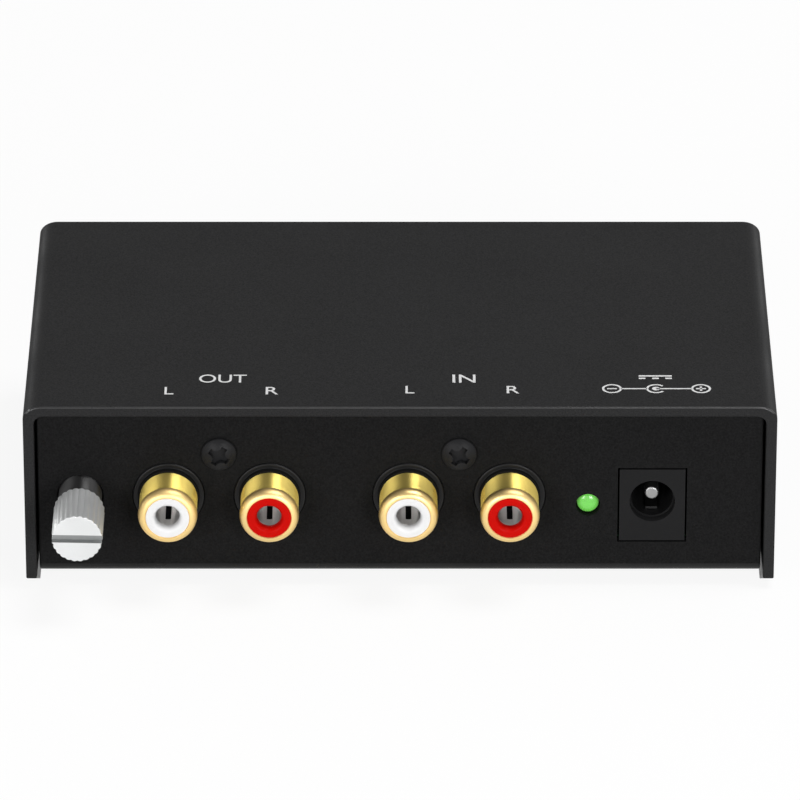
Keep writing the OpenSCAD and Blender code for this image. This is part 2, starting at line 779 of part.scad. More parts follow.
module output_jack_body() jack_body(output_x);
module input_jack_body() jack_body(input_x);

module jack_screws() {
    color([0.1, 0.1, 0.1])
    for (x = [output_x, input_x]) out_of_panel(x, jack_screw_z) difference() {
        union() {
            pan_head(jack_screw_head_d, jack_screw_head_h);
            translate([0, 0, -jack_screw_len]) cylinder(d = jack_screw_d, h = jack_screw_len);
        }
        cross_recess(jack_screw_head_h, recess_angle);
    }
}

// ---------------------------------------------------------------- power socket

module dc_socket_body() {
    bore_up = dc_bore_rise;
    color([0.12, 0.12, 0.12])
    difference() {
        union() {
            translate([dc_x - dc_w / 2, panel_y, top_z]) cube([dc_w, dc_block_d, dc_h]);
            translate([dc_x - dc_w / 2, panel_y + dc_block_d, top_z])
                cube([dc_w, dc_depth - dc_block_d, bore_up]);
            out_of_panel(dc_x, top_z + bore_up) translate([0, 0, -dc_depth])
                cylinder(d = dc_w, h = dc_depth - dc_block_d);
        }
        out_of_panel(dc_x, dc_z) {
            translate([0, 0, -dc_mouth_l]) cylinder(d = dc_mouth_d, h = dc_mouth_l + over);
            translate([0, 0, -dc_bore_l]) cylinder(d = dc_bore_d, h = dc_bore_l);
            translate([0, 0, -dc_depth - over]) cylinder(d = dc_shank_d, h = dc_depth - dc_mouth_l);
        }
        // Slots for the spring below the bore and for its tail
        translate([dc_x - tail_w / 2, dc_spring_tail_y, top_z - over])
            cube([tail_w, tail_t, dc_bore_rise + over]);
        // Slot for the switch tag in the right-hand wall
        translate([dc_switch_tail[0] - tail_t, dc_switch_tail[1] - tail_w / 2, top_z - over])
            cube([tail_t, tail_w, dc_switch_h + over]);
        // Notch at the back for the pin's tail
        translate([dc_x - tail_w / 2, dc_pin_tail_y, top_z - over])
            cube([tail_w, dc_notch_d + over, dc_bore_rise + over]);
    }
}

module dc_centre_pin() {
    pin_l = dc_depth - dc_notch_d - dc_pin_set;
    shank_l = dc_depth - dc_notch_d - dc_bore_l;
    color([0.72, 0.72, 0.72]) {
        out_of_panel(dc_x, dc_z, dc_pin_tail_y) rotate_extrude()
            polygon(concat(
                [[0, 0], [dc_shank_d / 2, 0], [dc_shank_d / 2, shank_l], [dc_pin_d / 2, shank_l]],
                arc(dc_pin_d / 2 - dc_pin_tip_r, pin_l - dc_pin_tip_r, dc_pin_tip_r, 0, 90, 5),
                [[0, pin_l]]
            ));
        translate([dc_x - tail_w / 2, dc_pin_tail_y, board_z - lead_proud])
            cube([tail_w, tail_t, dc_z - board_z + lead_proud]);
    }
}

// The plug's sleeve rides on this strip in the floor of the bore
module dc_sleeve_spring() {
    // High enough for the strip's flat underside to clear the round floor
    strip_z = dc_z - dc_bore_d / 2 + 0.12;
    color([0.72, 0.72, 0.72]) {
        translate([dc_x - tail_w / 2, dc_spring_tail_y - dc_strip_l, strip_z])
            cube([tail_w, dc_strip_l + tail_t, dc_strip_t]);
        translate([dc_x - tail_w / 2, dc_spring_tail_y, board_z - lead_proud])
            cube([tail_w, tail_t, strip_z + dc_strip_t - board_z + lead_proud]);
    }
}

module dc_switch_tag() {
    color([0.72, 0.72, 0.72])
    translate([dc_switch_tail[0] - tail_t, dc_switch_tail[1] - tail_w / 2, board_z - lead_proud])
        cube([tail_t, tail_w, top_z - board_z + lead_proud + dc_switch_h - turning_gap]);
}

// ---------------------------------------------------------------- lamp

module lamp_lens() {
    flange_r = lamp_d / 2 + lamp_flange_w;
    color([0.3, 0.8, 0.3])
    out_of_panel(lamp_x, lamp_z) translate([0, 0, -lamp_set - lamp_l]) rotate_extrude()
        polygon(concat(
            [[0, 0], [flange_r, 0], [flange_r, lamp_flange_l], [lamp_d / 2, lamp_flange_l]],
            [for (i = [0:6]) let (a = 15 * i)
                [lamp_d / 2 * cos(a), lamp_l - lamp_dome_l + lamp_dome_l * sin(a)]]
        ));
}

module lamp_leads() {
    color([0.75, 0.75, 0.75])
    for (side = [-1, 1]) translate([lamp_x + side * leg_pitch / 2, 0, 0]) {
        y0 = panel_y + lamp_set + lamp_l;
        translate([-lead_d / 2, y0, lamp_z - lead_d / 2])
            cube([lead_d, lamp_tail_y - y0 + lead_d / 2, lead_d]);
        translate([-lead_d / 2, lamp_tail_y - lead_d / 2, board_z - lead_proud])
            cube([lead_d, lead_d, lamp_z - board_z + lead_proud + lead_d / 2]);
    }
}

// Black block that keeps the lamp at its height
module lamp_holder() {
    y0 = panel_y + lamp_set + lamp_l - lamp_flange_l - lamp_flange_gap - holder_t;
    color([0.08, 0.08, 0.08])
    difference() {
        translate([lamp_x - holder_w / 2, y0, top_z])
            cube([holder_w, holder_t, lamp_rise + holder_w / 2]);
        out_of_panel(lamp_x, lamp_z, y0 + holder_t + over)
            cylinder(d = lamp_d + 2 * seat_gap, h = holder_t + 2 * over);
    }
}

// ---------------------------------------------------------------- level control

module pot_frame() {
    color([0.12, 0.12, 0.12])
    difference() {
        translate([pot_x - pot_w / 2, pot_front_y, top_z]) cube([pot_w, pot_frame_t, pot_h]);
        out_of_panel(pot_x, pot_z, pot_case_y + over)
            cylinder(d = shaft_d + 2 * shaft_gap, h = pot_frame_t + 2 * over);
    }
}

// Moulded case with one round chamber for each channel
module pot_case() {
    color([0.2, 0.14, 0.1])
    difference() {
        translate([pot_x - pot_w / 2, pot_case_y, top_z]) cube([pot_w, pot_d, pot_h]);
        for (y = pot_chamber_ys()) out_of_panel(pot_x, pot_z, y + chamber_l)
            cylinder(d = chamber_d, h = chamber_l);
        out_of_panel(pot_x, pot_z, pot_case_y + pot_wall + over)
            cylinder(d = shaft_d + 2 * shaft_gap, h = pot_wall + 2 * over);
        out_of_panel(pot_x, pot_z, pot_case_y + pot_d - pot_wall)
            cylinder(d = core_d + 2 * turning_gap, h = pot_d - 2 * pot_wall);
        for (p = pot_pins()) translate([p[0] - pin_w / 2, p[1] - pin_t / 2, top_z - over])
            cube([pin_w, pin_t, pot_pin_h + over]);
    }
}

function pot_chamber_ys() = [pot_case_y + pot_wall, pot_case_y + pot_wall + chamber_l + pot_divider];
function pot_pins() = [for (y = pot_pin_ys) for (i = [-1, 0, 1]) [pot_x + i * pot_pin_pitch, y]];

module pot_tracks() {
    color([0.35, 0.25, 0.15])
    for (y = pot_chamber_ys()) out_of_panel(pot_x, pot_z, y + chamber_l) difference() {
        cylinder(d = chamber_d, h = track_t);
        translate([0, 0, -over])
            cylinder(d = core_d + 2 * turning_gap, h = track_t + 2 * over);
    }
}

module pot_terminals() {
    color([0.75, 0.75, 0.75])
    for (p = pot_pins()) translate([p[0] - pin_w / 2, p[1] - pin_t / 2, board_z - lead_proud])
        cube([pin_w, pin_t, pot_pin_h + board_t + lead_proud]);
}

// The shaft's outline where the knob sits on it, with its flat above
module flatted_shaft(len) {
    difference() {
        cylinder(d = shaft_d, h = len);
        translate([-shaft_d, shaft_d / 2 - shaft_flat, -over]) cube([2 * shaft_d, shaft_d, len + 2 * over]);
    }
}

// Turns with the knob: the plain shaft, its flatted end and the thin core in the case
module pot_shaft() {
    shoulder = panel_y - pot_case_y - pot_wall;
    core_l = pot_d - 2 * pot_wall - turning_gap;
    color([0.06, 0.06, 0.06])
    out_of_panel(pot_x, pot_z) {
        translate([0, 0, shoulder]) cylinder(d = shaft_d, h = neck_l - shoulder);
        translate([0, 0, neck_l - seam]) flatted_shaft(knob_l - knob_end_t + seam);
        translate([0, 0, shoulder - core_l]) cylinder(d = core_d, h = core_l);
    }
}

// Discs on the core, cut flat below, each with a finger that reaches back to its track
module pot_wipers() {
    finger_l = chamber_l - track_t - wiper_t - 2 * turning_gap;
    color([0.8, 0.6, 0.3])
    for (y = pot_chamber_ys()) out_of_panel(pot_x, pot_z, y + turning_gap + wiper_t) difference() {
        union() {
            cylinder(d = chamber_d - 2 * turning_gap, h = wiper_t);
            translate([0, (core_d + chamber_d) / 4, -finger_l])
                cylinder(d = finger_d, h = finger_l + wiper_t / 2);
        }
        translate([0, 0, -over]) cylinder(d = core_d, h = wiper_t + 2 * over);
        translate([-chamber_d, -chamber_d - 1, -over])
            cube([2 * chamber_d, chamber_d, wiper_t + 2 * over]);
    }
}

// Outline of the knurl: rounded teeth with sharp roots, one of them straight up
function knurl() = [
    for (i = [0:tooth_count - 1], k = [0:5])
        let (a = 360 / tooth_count * (i + k / 6), lift = abs(sin(30 * k)))
        let (r = knob_d / 2 - tooth_depth * (1 - lift))
        [r * cos(a), r * sin(a)]
];

// Half section that chamfers the teeth at both ends and clears them between
function knob_envelope() =
    let (tip = knob_d / 2 - knob_edge, r = knob_d / 2 + over, clear = knob_edge + over)
    [[0, 0], [tip, 0], [r, clear], [r, knob_l - clear], [tip, knob_l], [0, knob_l]];

module level_knob() {
    color([0.82, 0.83, 0.83])
    out_of_panel(pot_x, pot_z) difference() {
        translate([0, 0, neck_l]) intersection() {
            linear_extrude(knob_l) polygon(knurl());
            rotate_extrude() polygon(knob_envelope());
        }
        translate([0, 0, neck_l - over]) flatted_shaft(knob_l - knob_end_t + over);
        rotate(slot_angle) translate([-knob_d, -slot_w / 2, neck_l + knob_l - slot_depth])
            cube([2 * knob_d, slot_w, slot_depth + over]);
    }
}

// ---------------------------------------------------------------- parts on the board

function cap_pitch(d) = d > 6 ? 3.5 : 2;
function pair_of(p, pitch) = [[p[0] - pitch / 2, p[1]], [p[0] + pitch / 2, p[1]]];

// Where round leads pass through the board
function lead_spots() = concat(
    [for (c = signal_caps) each pair_of(c, cap_pitch(signal_cap_d))],
    [for (c = supply_caps) each pair_of(c, cap_pitch(supply_cap_d))],
    [for (c = film_caps) each pair_of(c, 5)],
    [for (c = resistor_spots) each pair_of(c, resistor_span)],
    pair_of(diode_spot, resistor_span),
    [for (i = [-1, 0, 1]) [regulator_spot[0] + i * regulator_pitch, regulator_spot[1]]],
    pair_of([lamp_x, lamp_tail_y], leg_pitch)
);

function leg_spots() = [
    for (x = chip_xs, i = [0:3], side = [-1, 1])
        [x + (i - 1.5) * leg_pitch, row(0.5) + side * leg_span / 2]
];

function tail_spots() = concat(
    [for (x = jack_xs) [x, shell_tail_y + tail_t / 2]],
    [for (x = jack_xs) [x, contact_tail_y + tail_t / 2]],
    [
        [dc_x, dc_pin_tail_y + tail_t / 2],
        [dc_x, dc_spring_tail_y + tail_t / 2],
        [dc_switch_tail[0] - tail_t / 2, dc_switch_tail[1]]
    ]
);

function pin_spots() = pot_pins();

module amplifier_chips() {
    color([0.1, 0.1, 0.1])
    for (x = chip_xs) translate([x, row(0.5), top_z + chip_lift]) difference() {
        translate([-chip_l / 2, -chip_w / 2, 0]) cube([chip_l, chip_w, chip_h]);
        translate([-chip_l / 2, 0, chip_h - 0.4]) cylinder(r = 0.8, h = 1);
    }
}

module chip_legs() {
    leg_w = 0.5;
    leg_t = 0.3;
    shoulder_z = top_z + chip_lift + chip_h / 2;
    color([0.78, 0.78, 0.78])
    for (x = chip_xs, i = [0:3], side = [0, 1])
        translate([x + (i - 1.5) * leg_pitch - leg_w / 2, row(0.5), 0]) mirror([0, side, 0]) {
            translate([0, leg_span / 2 - leg_t / 2, board_z - lead_proud])
                cube([leg_w, leg_t, shoulder_z - board_z + lead_proud]);
            translate([0, chip_w / 2, shoulder_z - leg_t])
                cube([leg_w, leg_span / 2 + leg_t / 2 - chip_w / 2, leg_t]);
        }
}

// An electrolytic can with the groove rolled above its base
module can(d, h) {
    r = d / 2;
    base_r = 0.2;
    groove = 0.3;
    groove_z = 1.2;
    top_r = 0.4;
    top_sink = 0.15;
    rotate_extrude()
        polygon(concat(
            [[0, 0], [r - base_r, 0], [r, base_r], [r, groove_z], [r - groove, groove_z + groove]],
            [[r - groove, groove_z + groove + base_r], [r, groove_z + 2 * groove + base_r]],
            arc(r - top_r, h - top_r, top_r, 0, 90, 4),
            [[r - top_r - groove, h - top_sink], [0, h - top_sink]]
        ));
}

module signal_capacitors() {
    color([0.12, 0.16, 0.35])
    for (p = signal_caps) translate([p[0], p[1], top_z]) can(signal_cap_d, signal_cap_h);
}

module supply_capacitors() {
    color([0.1, 0.1, 0.14])
    for (p = supply_caps) translate([p[0], p[1], top_z]) can(supply_cap_d, supply_cap_h);
}

module film_capacitors() {
    color([0.65, 0.1, 0.08])
    for (p = film_caps) translate([p[0] - film_cap_l / 2, p[1] - film_cap_w / 2, top_z])
        cube([film_cap_l, film_cap_w, film_cap_h]);
}

// Body of an axial part, waisted between two end caps, along X
module axial_body(l, d) {
    r = d / 2;
    cap_l = l * 0.22;
    rotate([0, 90, 0]) translate([0, 0, -l / 2]) rotate_extrude()
        polygon([
            [0, 0], [r * 0.8, 0], [r, 0.3], [r, cap_l], [r * 0.85, cap_l + 0.4],
            [r * 0.85, l - cap_l - 0.4], [r, l - cap_l], [r, l - 0.3], [r * 0.8, l], [0, l]
        ]);
}

module resistors() {
    color([0.45, 0.62, 0.75])
    for (p = resistor_spots) translate([p[0], p[1], top_z + resistor_d / 2])
        axial_body(resistor_l, resistor_d);
}

module supply_diode() {
    color([0.1, 0.1, 0.1])
    translate([diode_spot[0], diode_spot[1], top_z + resistor_d / 2]) rotate([0, 90, 0])
        cylinder(d = resistor_d, h = diode_l, center = true);
}

// A small moulded transistor case, flat on its front
module supply_regulator() {
    color([0.1, 0.1, 0.1])
    translate([regulator_spot[0], regulator_spot[1], top_z + regulator_lift]) difference() {
        cylinder(r = regulator_r, h = regulator_h);
        translate([-regulator_r - over, -regulator_r - over, -over])
            cube([2 * regulator_r + 2 * over, regulator_r / 2 + over, regulator_h + 2 * over]);
    }
}

// A wire along X from the end of an axial body, bent down through the board
module bent_lead(p, body_l) {
    r = lead_d / 2;
    z = top_z + resistor_d / 2;
    for (side = [0, 1]) translate([p[0], p[1], 0]) mirror([side, 0, 0]) {
        translate([body_l / 2, 0, z]) rotate([0, 90, 0])
            cylinder(r = r, h = resistor_span / 2 - body_l / 2);
        translate([resistor_span / 2, 0, z]) sphere(r = r);
        translate([resistor_span / 2, 0, board_z - lead_proud])
            cylinder(r = r, h = z - board_z + lead_proud);
    }
}

module straight_lead(p, top) {
    translate([p[0], p[1], board_z - lead_proud])
        cylinder(d = lead_d, h = top - board_z + lead_proud);
}

module component_leads() {
    color([0.78, 0.78, 0.78]) {
        for (c = signal_caps, p = pair_of(c, cap_pitch(signal_cap_d))) straight_lead(p, top_z);
        for (c = supply_caps, p = pair_of(c, cap_pitch(supply_cap_d))) straight_lead(p, top_z);
        for (c = film_caps, p = pair_of(c, 5)) straight_lead(p, top_z);
        for (c = resistor_spots) bent_lead(c, resistor_l);
        bent_lead(diode_spot, diode_l);
        for (i = [-1, 0, 1])
            straight_lead(
                [regulator_spot[0] + i * regulator_pitch, regulator_spot[1]],
                top_z + regulator_lift
            );
    }
}

top_cover();
bottom_tray();
cover_screws();
rubber_feet();
circuit_board();
board_spacers();
board_screws();
output_jack_body();
input_jack_body();
jack_screws();
output_left_shell();
output_right_shell();
input_left_shell();
input_right_shell();
output_left_insert();
output_right_insert();
input_left_insert();
input_right_insert();
output_left_contact();
output_right_contact();
input_left_contact();
input_right_contact();
dc_socket_body();
dc_centre_pin();
dc_sleeve_spring();
dc_switch_tag();
lamp_lens();
lamp_leads();
lamp_holder();
pot_case();
pot_frame();
pot_tracks();
pot_terminals();
pot_shaft();
pot_wipers();
level_knob();
amplifier_chips();
chip_legs();
signal_capacitors();
supply_capacitors();
film_capacitors();
resistors();
supply_diode();
supply_regulator();
component_leads();
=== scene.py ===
import bpy
import bmesh
import json
import math
from mathutils import Matrix, Vector

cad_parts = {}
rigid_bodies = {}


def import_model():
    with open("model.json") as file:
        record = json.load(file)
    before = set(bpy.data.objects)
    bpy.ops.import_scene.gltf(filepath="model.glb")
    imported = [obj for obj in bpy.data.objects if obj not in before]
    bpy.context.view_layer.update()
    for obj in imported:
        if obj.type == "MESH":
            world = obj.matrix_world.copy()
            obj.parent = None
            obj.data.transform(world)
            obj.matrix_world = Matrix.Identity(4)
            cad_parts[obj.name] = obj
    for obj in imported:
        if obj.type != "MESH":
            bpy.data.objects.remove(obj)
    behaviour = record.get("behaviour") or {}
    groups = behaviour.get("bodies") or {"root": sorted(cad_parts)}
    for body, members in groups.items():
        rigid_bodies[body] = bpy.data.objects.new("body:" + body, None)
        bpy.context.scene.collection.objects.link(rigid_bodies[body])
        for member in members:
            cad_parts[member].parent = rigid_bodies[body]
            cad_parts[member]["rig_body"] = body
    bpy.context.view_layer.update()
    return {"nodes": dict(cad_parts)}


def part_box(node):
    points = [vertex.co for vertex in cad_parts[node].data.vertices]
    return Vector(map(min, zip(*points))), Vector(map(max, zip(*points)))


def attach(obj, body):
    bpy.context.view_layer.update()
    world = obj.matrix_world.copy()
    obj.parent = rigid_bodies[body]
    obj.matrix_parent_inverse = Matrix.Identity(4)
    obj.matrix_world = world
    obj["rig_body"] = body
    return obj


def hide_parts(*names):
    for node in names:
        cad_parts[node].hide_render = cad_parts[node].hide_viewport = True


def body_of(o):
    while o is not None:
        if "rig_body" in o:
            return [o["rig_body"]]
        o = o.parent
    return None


# Two-channel phono preamplifier. Sizes in the dictionaries are millimetres unless a note says otherwise.
mm = 0.001
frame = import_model()
scene = bpy.context.scene
scene.view_settings.view_transform = "Standard"
print("frame loaded:", len(frame["nodes"]), "nodes")


# small helpers for node trees

def addNode(tree, kind, inputs=None, **settings):
    # an input is joined to a socket or set to a plain value
    node = tree.nodes.new(kind)
    for name, value in settings.items():
        setattr(node, name, value)
    for key, value in (inputs or {}).items():
        if isinstance(value, bpy.types.NodeSocket):
            tree.links.new(value, node.inputs[key])
        else:
            node.inputs[key].default_value = value
    return node


def nodeOut(tree, kind, inputs=None, **settings):
    return addNode(tree, kind, inputs, **settings).outputs[0]


def calc(tree, operation, *values, clamp=False):
    return nodeOut(tree, "ShaderNodeMath", dict(enumerate(values)), operation=operation, use_clamp=clamp)


def joinXYZ(tree, **parts):
    return nodeOut(tree, "ShaderNodeCombineXYZ", parts)


def scaleBy(tree, value, gain):
    return nodeOut(tree, "ShaderNodeVectorMath", {0: value, "Scale": gain}, operation="SCALE")


def placePart(tree, part, **moves):
    return nodeOut(tree, "GeometryNodeTransform", {"Geometry": part, **moves})


def cutAway(tree, part, cutter):
    return nodeOut(tree, "GeometryNodeMeshBoolean", {"Mesh 1": part, "Mesh 2": cutter},
                   operation="DIFFERENCE", solver="EXACT")


def addGroup(tree, group, inputs):
    kind = "GeometryNodeGroup" if tree.bl_idname == "GeometryNodeTree" else "ShaderNodeGroup"
    return addNode(tree, kind, inputs, node_tree=group)


def floatInputs(values):
    return [(label, "NodeSocketFloat", value) for label, value in values.items()]


def newTree(name, kind, inputs, outputs=(("Geometry", "NodeSocketGeometry"),)):
    tree = bpy.data.node_groups.new(name, kind)
    for label, socketKind, value in inputs:
        socket = tree.interface.new_socket(name=label, in_out="INPUT", socket_type=socketKind)
        if value is not None:
            socket.default_value = value
    for label, socketKind in outputs:
        tree.interface.new_socket(name=label, in_out="OUTPUT", socket_type=socketKind)
    return tree, tree.nodes.new("NodeGroupInput").outputs, tree.nodes.new("NodeGroupOutput").inputs


def emptyTree(holder):
    holder.use_nodes = True
    holder.node_tree.nodes.clear()
    return holder.node_tree


# small helpers for meshes

def linkObject(name, data):
    obj = bpy.data.objects.new(name, data)
    scene.collection.objects.link(obj)
    return obj


def meshObject(name, points, edges=(), faces=()):
    mesh = bpy.data.meshes.new(name)
    mesh.from_pydata([Vector(p) * mm for p in points], list(edges), list(faces))
    return linkObject(name, mesh)


def arc(cx, cy, rx, ry, start, end, steps):
    turn = [math.radians(start + (end - start) * i / steps) for i in range(steps + 1)]
    return [(cx + rx * math.cos(a), cy + ry * math.sin(a)) for a in turn]


def bakeMesh(obj):
    bpy.context.view_layer.update()
    graph = bpy.context.evaluated_depsgraph_get()
    mesh = bpy.data.meshes.new_from_object(
        obj.evaluated_get(graph), preserve_all_data_layers=True, depsgraph=graph)
    obj.modifiers.clear()
    obj.data = mesh


def runTree(obj, tree, values):
    # modifier inputs are set by the socket's identifier
    modifier = obj.modifiers.new(tree.name, "NODES")
    modifier.node_group = tree
    for item in tree.interface.items_tree:
        if item.item_type == "SOCKET" and item.in_out == "INPUT" and item.name in values:
            modifier[item.identifier] = values[item.name]
    bakeMesh(obj)


def turnPiece(name, look, tree, section, values):
    # a half section as an edge chain: X is the radius, Y the distance along the axis
    # it runs from axis to axis, or closes on itself where it starts off the axis
    count = len(section)
    edges = [(i, (i + 1) % count) for i in range(count - 1 if section[0][0] == 0 else count)]
    obj = meshObject(name, [(r, along, 0) for r, along in section], edges)
    runTree(obj, tree, {**values, "Material": finishes[look]})
    return obj


def softenEdges(obj, width, angle, segments=2):
    bevel = obj.modifiers.new("softEdge", "BEVEL")
    bevel.width = width * mm
    bevel.segments = segments
    bevel.limit_method = "ANGLE"
    bevel.angle_limit = math.radians(angle)
    bakeMesh(obj)


def cutWith(obj, cutter):
    boolean = obj.modifiers.new("cut", "BOOLEAN")
    boolean.object = cutter
    boolean.operation = "DIFFERENCE"
    boolean.solver = "EXACT"
    bakeMesh(obj)
    bpy.data.objects.remove(cutter)


def addBoxes(obj, boxes):
    # plain solder tails, each as (low corner, high corner)
    solid = bmesh.new()
    solid.from_mesh(obj.data)
    for low, high in boxes:
        low, high = Vector(low) * mm, Vector(high) * mm
        place = Matrix.Translation((low + high) / 2) @ Matrix.Diagonal((*(high - low), 1))
        bmesh.ops.create_cube(solid, size=1, matrix=place)
    solid.to_mesh(obj.data)
    solid.free()


def closeMesh(obj, faceOut=True):
    # merges doubles, and turns the faces outwards
    solid = bmesh.new()
    solid.from_mesh(obj.data)
    bmesh.ops.remove_doubles(solid, verts=solid.verts, dist=1e-7)
    if faceOut:
        bmesh.ops.recalc_face_normals(solid, faces=solid.faces)
    solid.to_mesh(obj.data)
    solid.free()


def finishPiece(obj, name, body, slotName, nodes, sharp=35, look=None, faceOut=True):
    closeMesh(obj, faceOut)
    obj.data.shade_smooth()
    obj.data.set_sharp_from_angle(angle=math.radians(sharp))
    if not obj.data.materials or obj.data.materials[0] is None:
        obj.data.materials.clear()
        obj.data.materials.append(finishes[look or slotName])
    weighted = obj.modifiers.new("evenShading", "WEIGHTED_NORMAL")
    weighted.keep_sharp = True
    obj.name = name
    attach(obj, body)
    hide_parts(*nodes)
    print("piece", name, len(obj.data.polygons), "faces")


def refinish(obj, look, chosen):
    # gives the faces that the rule picks another finish
    obj.data.materials.append(finishes[look])
    for face in obj.data.polygons:
        if chosen(face.center / mm, face.normal):
            face.material_index = len(obj.data.materials) - 1


def softCopy(node, name, slotName, edge=0, angle=50, sharp=35, look=None):
    # a CAD shape with its sharp edges broken by a small bevel
    source = frame["nodes"][node]
    solid = bmesh.new()
    solid.from_mesh(source.data)
    bmesh.ops.remove_doubles(solid, verts=solid.verts, dist=1e-6)
    bmesh.ops.dissolve_limit(solid, angle_limit=math.radians(0.5), verts=solid.verts, edges=solid.edges)
    mesh = bpy.data.meshes.new(name)
    solid.to_mesh(mesh)
    solid.free()
    obj = linkObject(name, mesh)
    if edge:
        softenEdges(obj, edge, angle)
    finishPiece(obj, name, body_of(source)[0], slotName, [node], sharp, look, faceOut=False)
    return obj


# camera, room and lamps

view = {
    "place": (0, -0.9937, 0.5140),  # metres
    "pitchDown": 26.55226,  # degrees
    "lens": 354.64,
    "sensor": 36,
    "clip": (0.05, 20),  # metres
}
camera = linkObject("camera", bpy.data.cameras.new("camera"))
camera.location = view["place"]
camera.rotation_euler = (math.radians(90 - view["pitchDown"]), 0, 0)
camera.data.lens = view["lens"]
camera.data.sensor_width = view["sensor"]
camera.data.sensor_fit = "HORIZONTAL"
camera.data.clip_start, camera.data.clip_end = view["clip"]
scene.camera = camera

room = {
    "softLevel": 0.25,  # what the room gives to matt surfaces
    "ceiling": 0.15,  # how bright metal shows the room above the white sweep
    "sweepTop": (0.35, 0.6),  # sine of the height at which the white sweep fades into the dim ceiling
    "floorPaint": 0.8,
    "floorGlow": 1.04,
    "floorShadow": 0.14,  # share of the floor that takes shadow
    "mirroredShadow": 0.5,  # the same share as metal shows it
    "shadedX": (50.2, 51.8),  # half widths of the plain floor under the case: middle part, and with its sides
    "shadedY": (-20.8, -17.0, 35.5),  # where its sides start, where its middle starts, where both end
    "floorSize": 8000,
}
lamps = {
    # name: (place, aimed at, width, depth, watts), metres
    "key": ((0.31, -0.08, 0.94), (0, 0, 0.02), 0.36, 0.4, 4.5),
    "frontLeft": ((-0.56, -1.02, 0.32), (0, 0, 0.02), 0.46, 0.4, 4.7),
    "frontRight": ((0.44, -1.10, 0.32), (0, 0, 0.02), 0.34, 0.4, 6.0),
    "rightBack": ((0.50, 0.95, 0.13), (0.05, 0, 0.02), 0.10, 0.14, 1.0),
    "leftBack": ((-0.50, 0.95, 0.13), (-0.05, 0, 0.02), 0.10, 0.14, 1.0),
}


def buildSky():
    # metal and glass show the white sweep, and above it the dim ceiling
    scene.world = bpy.data.worlds.new("room")
    tree = emptyTree(scene.world)
    path = addNode(tree, "ShaderNodeLightPath").outputs
    low, high = room["sweepTop"]
    way = addNode(tree, "ShaderNodeSeparateXYZ", {0: addNode(tree, "ShaderNodeTexCoord").outputs["Generated"]})
    sweep = nodeOut(tree, "ShaderNodeMapRange", {
        "Value": way.outputs["Z"], "From Min": low, "From Max": high, "To Min": 1.0, "To Max": room["ceiling"]})
    shiny = calc(tree, "MAXIMUM", path["Is Glossy Ray"], path["Is Transmission Ray"])
    level = nodeOut(tree, "ShaderNodeMix", {"Factor": shiny, "A": room["softLevel"], "B": sweep}, data_type="FLOAT")
    level = calc(tree, "MAXIMUM", path["Is Camera Ray"], level)
    backdrop = nodeOut(tree, "ShaderNodeBackground", {"Color": (1, 1, 1, 1), "Strength": level})
    addNode(tree, "ShaderNodeOutputWorld", {"Surface": backdrop})


def makeFloorPaint(name, glowing):
    paint = bpy.data.materials.new(name)
    tree = emptyTree(paint)
    shade = room["floorPaint"]
    surface = nodeOut(tree, "ShaderNodeBsdfDiffuse", {"Color": (shade, shade, shade, 1)})
    if glowing:
        path = addNode(tree, "ShaderNodeLightPath").outputs
        mirrored = calc(tree, "MULTIPLY", path["Is Glossy Ray"], 1 - room["mirroredShadow"])
        direct = calc(tree, "MULTIPLY", path["Is Camera Ray"], 1 - room["floorShadow"])
        glow = nodeOut(tree, "ShaderNodeEmission", {"Color": (1, 1, 1, 1), "Strength": room["floorGlow"]})
        share = calc(tree, "MAXIMUM", direct, mirrored)
        surface = nodeOut(tree, "ShaderNodeMixShader", {0: share, 1: surface, 2: glow})
    addNode(tree, "ShaderNodeOutputMaterial", {"Surface": surface})
    return paint


def buildFloor():
    half = room["floorSize"] / 2
    inner, outer = room["shadedX"]
    xs, ys = [-half, -outer, -inner, inner, outer, half], [-half, *room["shadedY"], half]
    wide = len(xs)
    cells = [(row, column) for row in range(len(ys) - 1) for column in range(wide - 1)]
    starts = [wide * row + column for row, column in cells]
    floor = meshObject("floor", [(x, y, 0) for y in ys for x in xs], faces=[
        (i, i + 1, i + wide + 1, i + wide) for i in starts])
    floor.data.materials.append(makeFloorPaint("paleFloor", True))
    floor.data.materials.append(makeFloorPaint("shadedFloor", False))
    # under the case the floor is plain, so it keeps its full shadow
    for (row, column), face in zip(cells, floor.data.polygons):
        face.material_index = int((row == 2 and 0 < column < 4) or (row == 1 and column in (1, 3)))


def hangLamps():
    for name, (place, target, width, depth, watts) in lamps.items():
        lamp = bpy.data.lights.new(name, "AREA")
        lamp.shape = "RECTANGLE"
        lamp.size, lamp.size_y, lamp.energy = width, depth, watts
        holder = linkObject(name, lamp)
        holder.location = place
        holder.rotation_euler = (Vector(target) - Vector(place)).to_track_quat("-Z", "Y").to_euler()


buildSky()
buildFloor()
hangLamps()
print("room, camera and lamps ready")


# shared shader effects

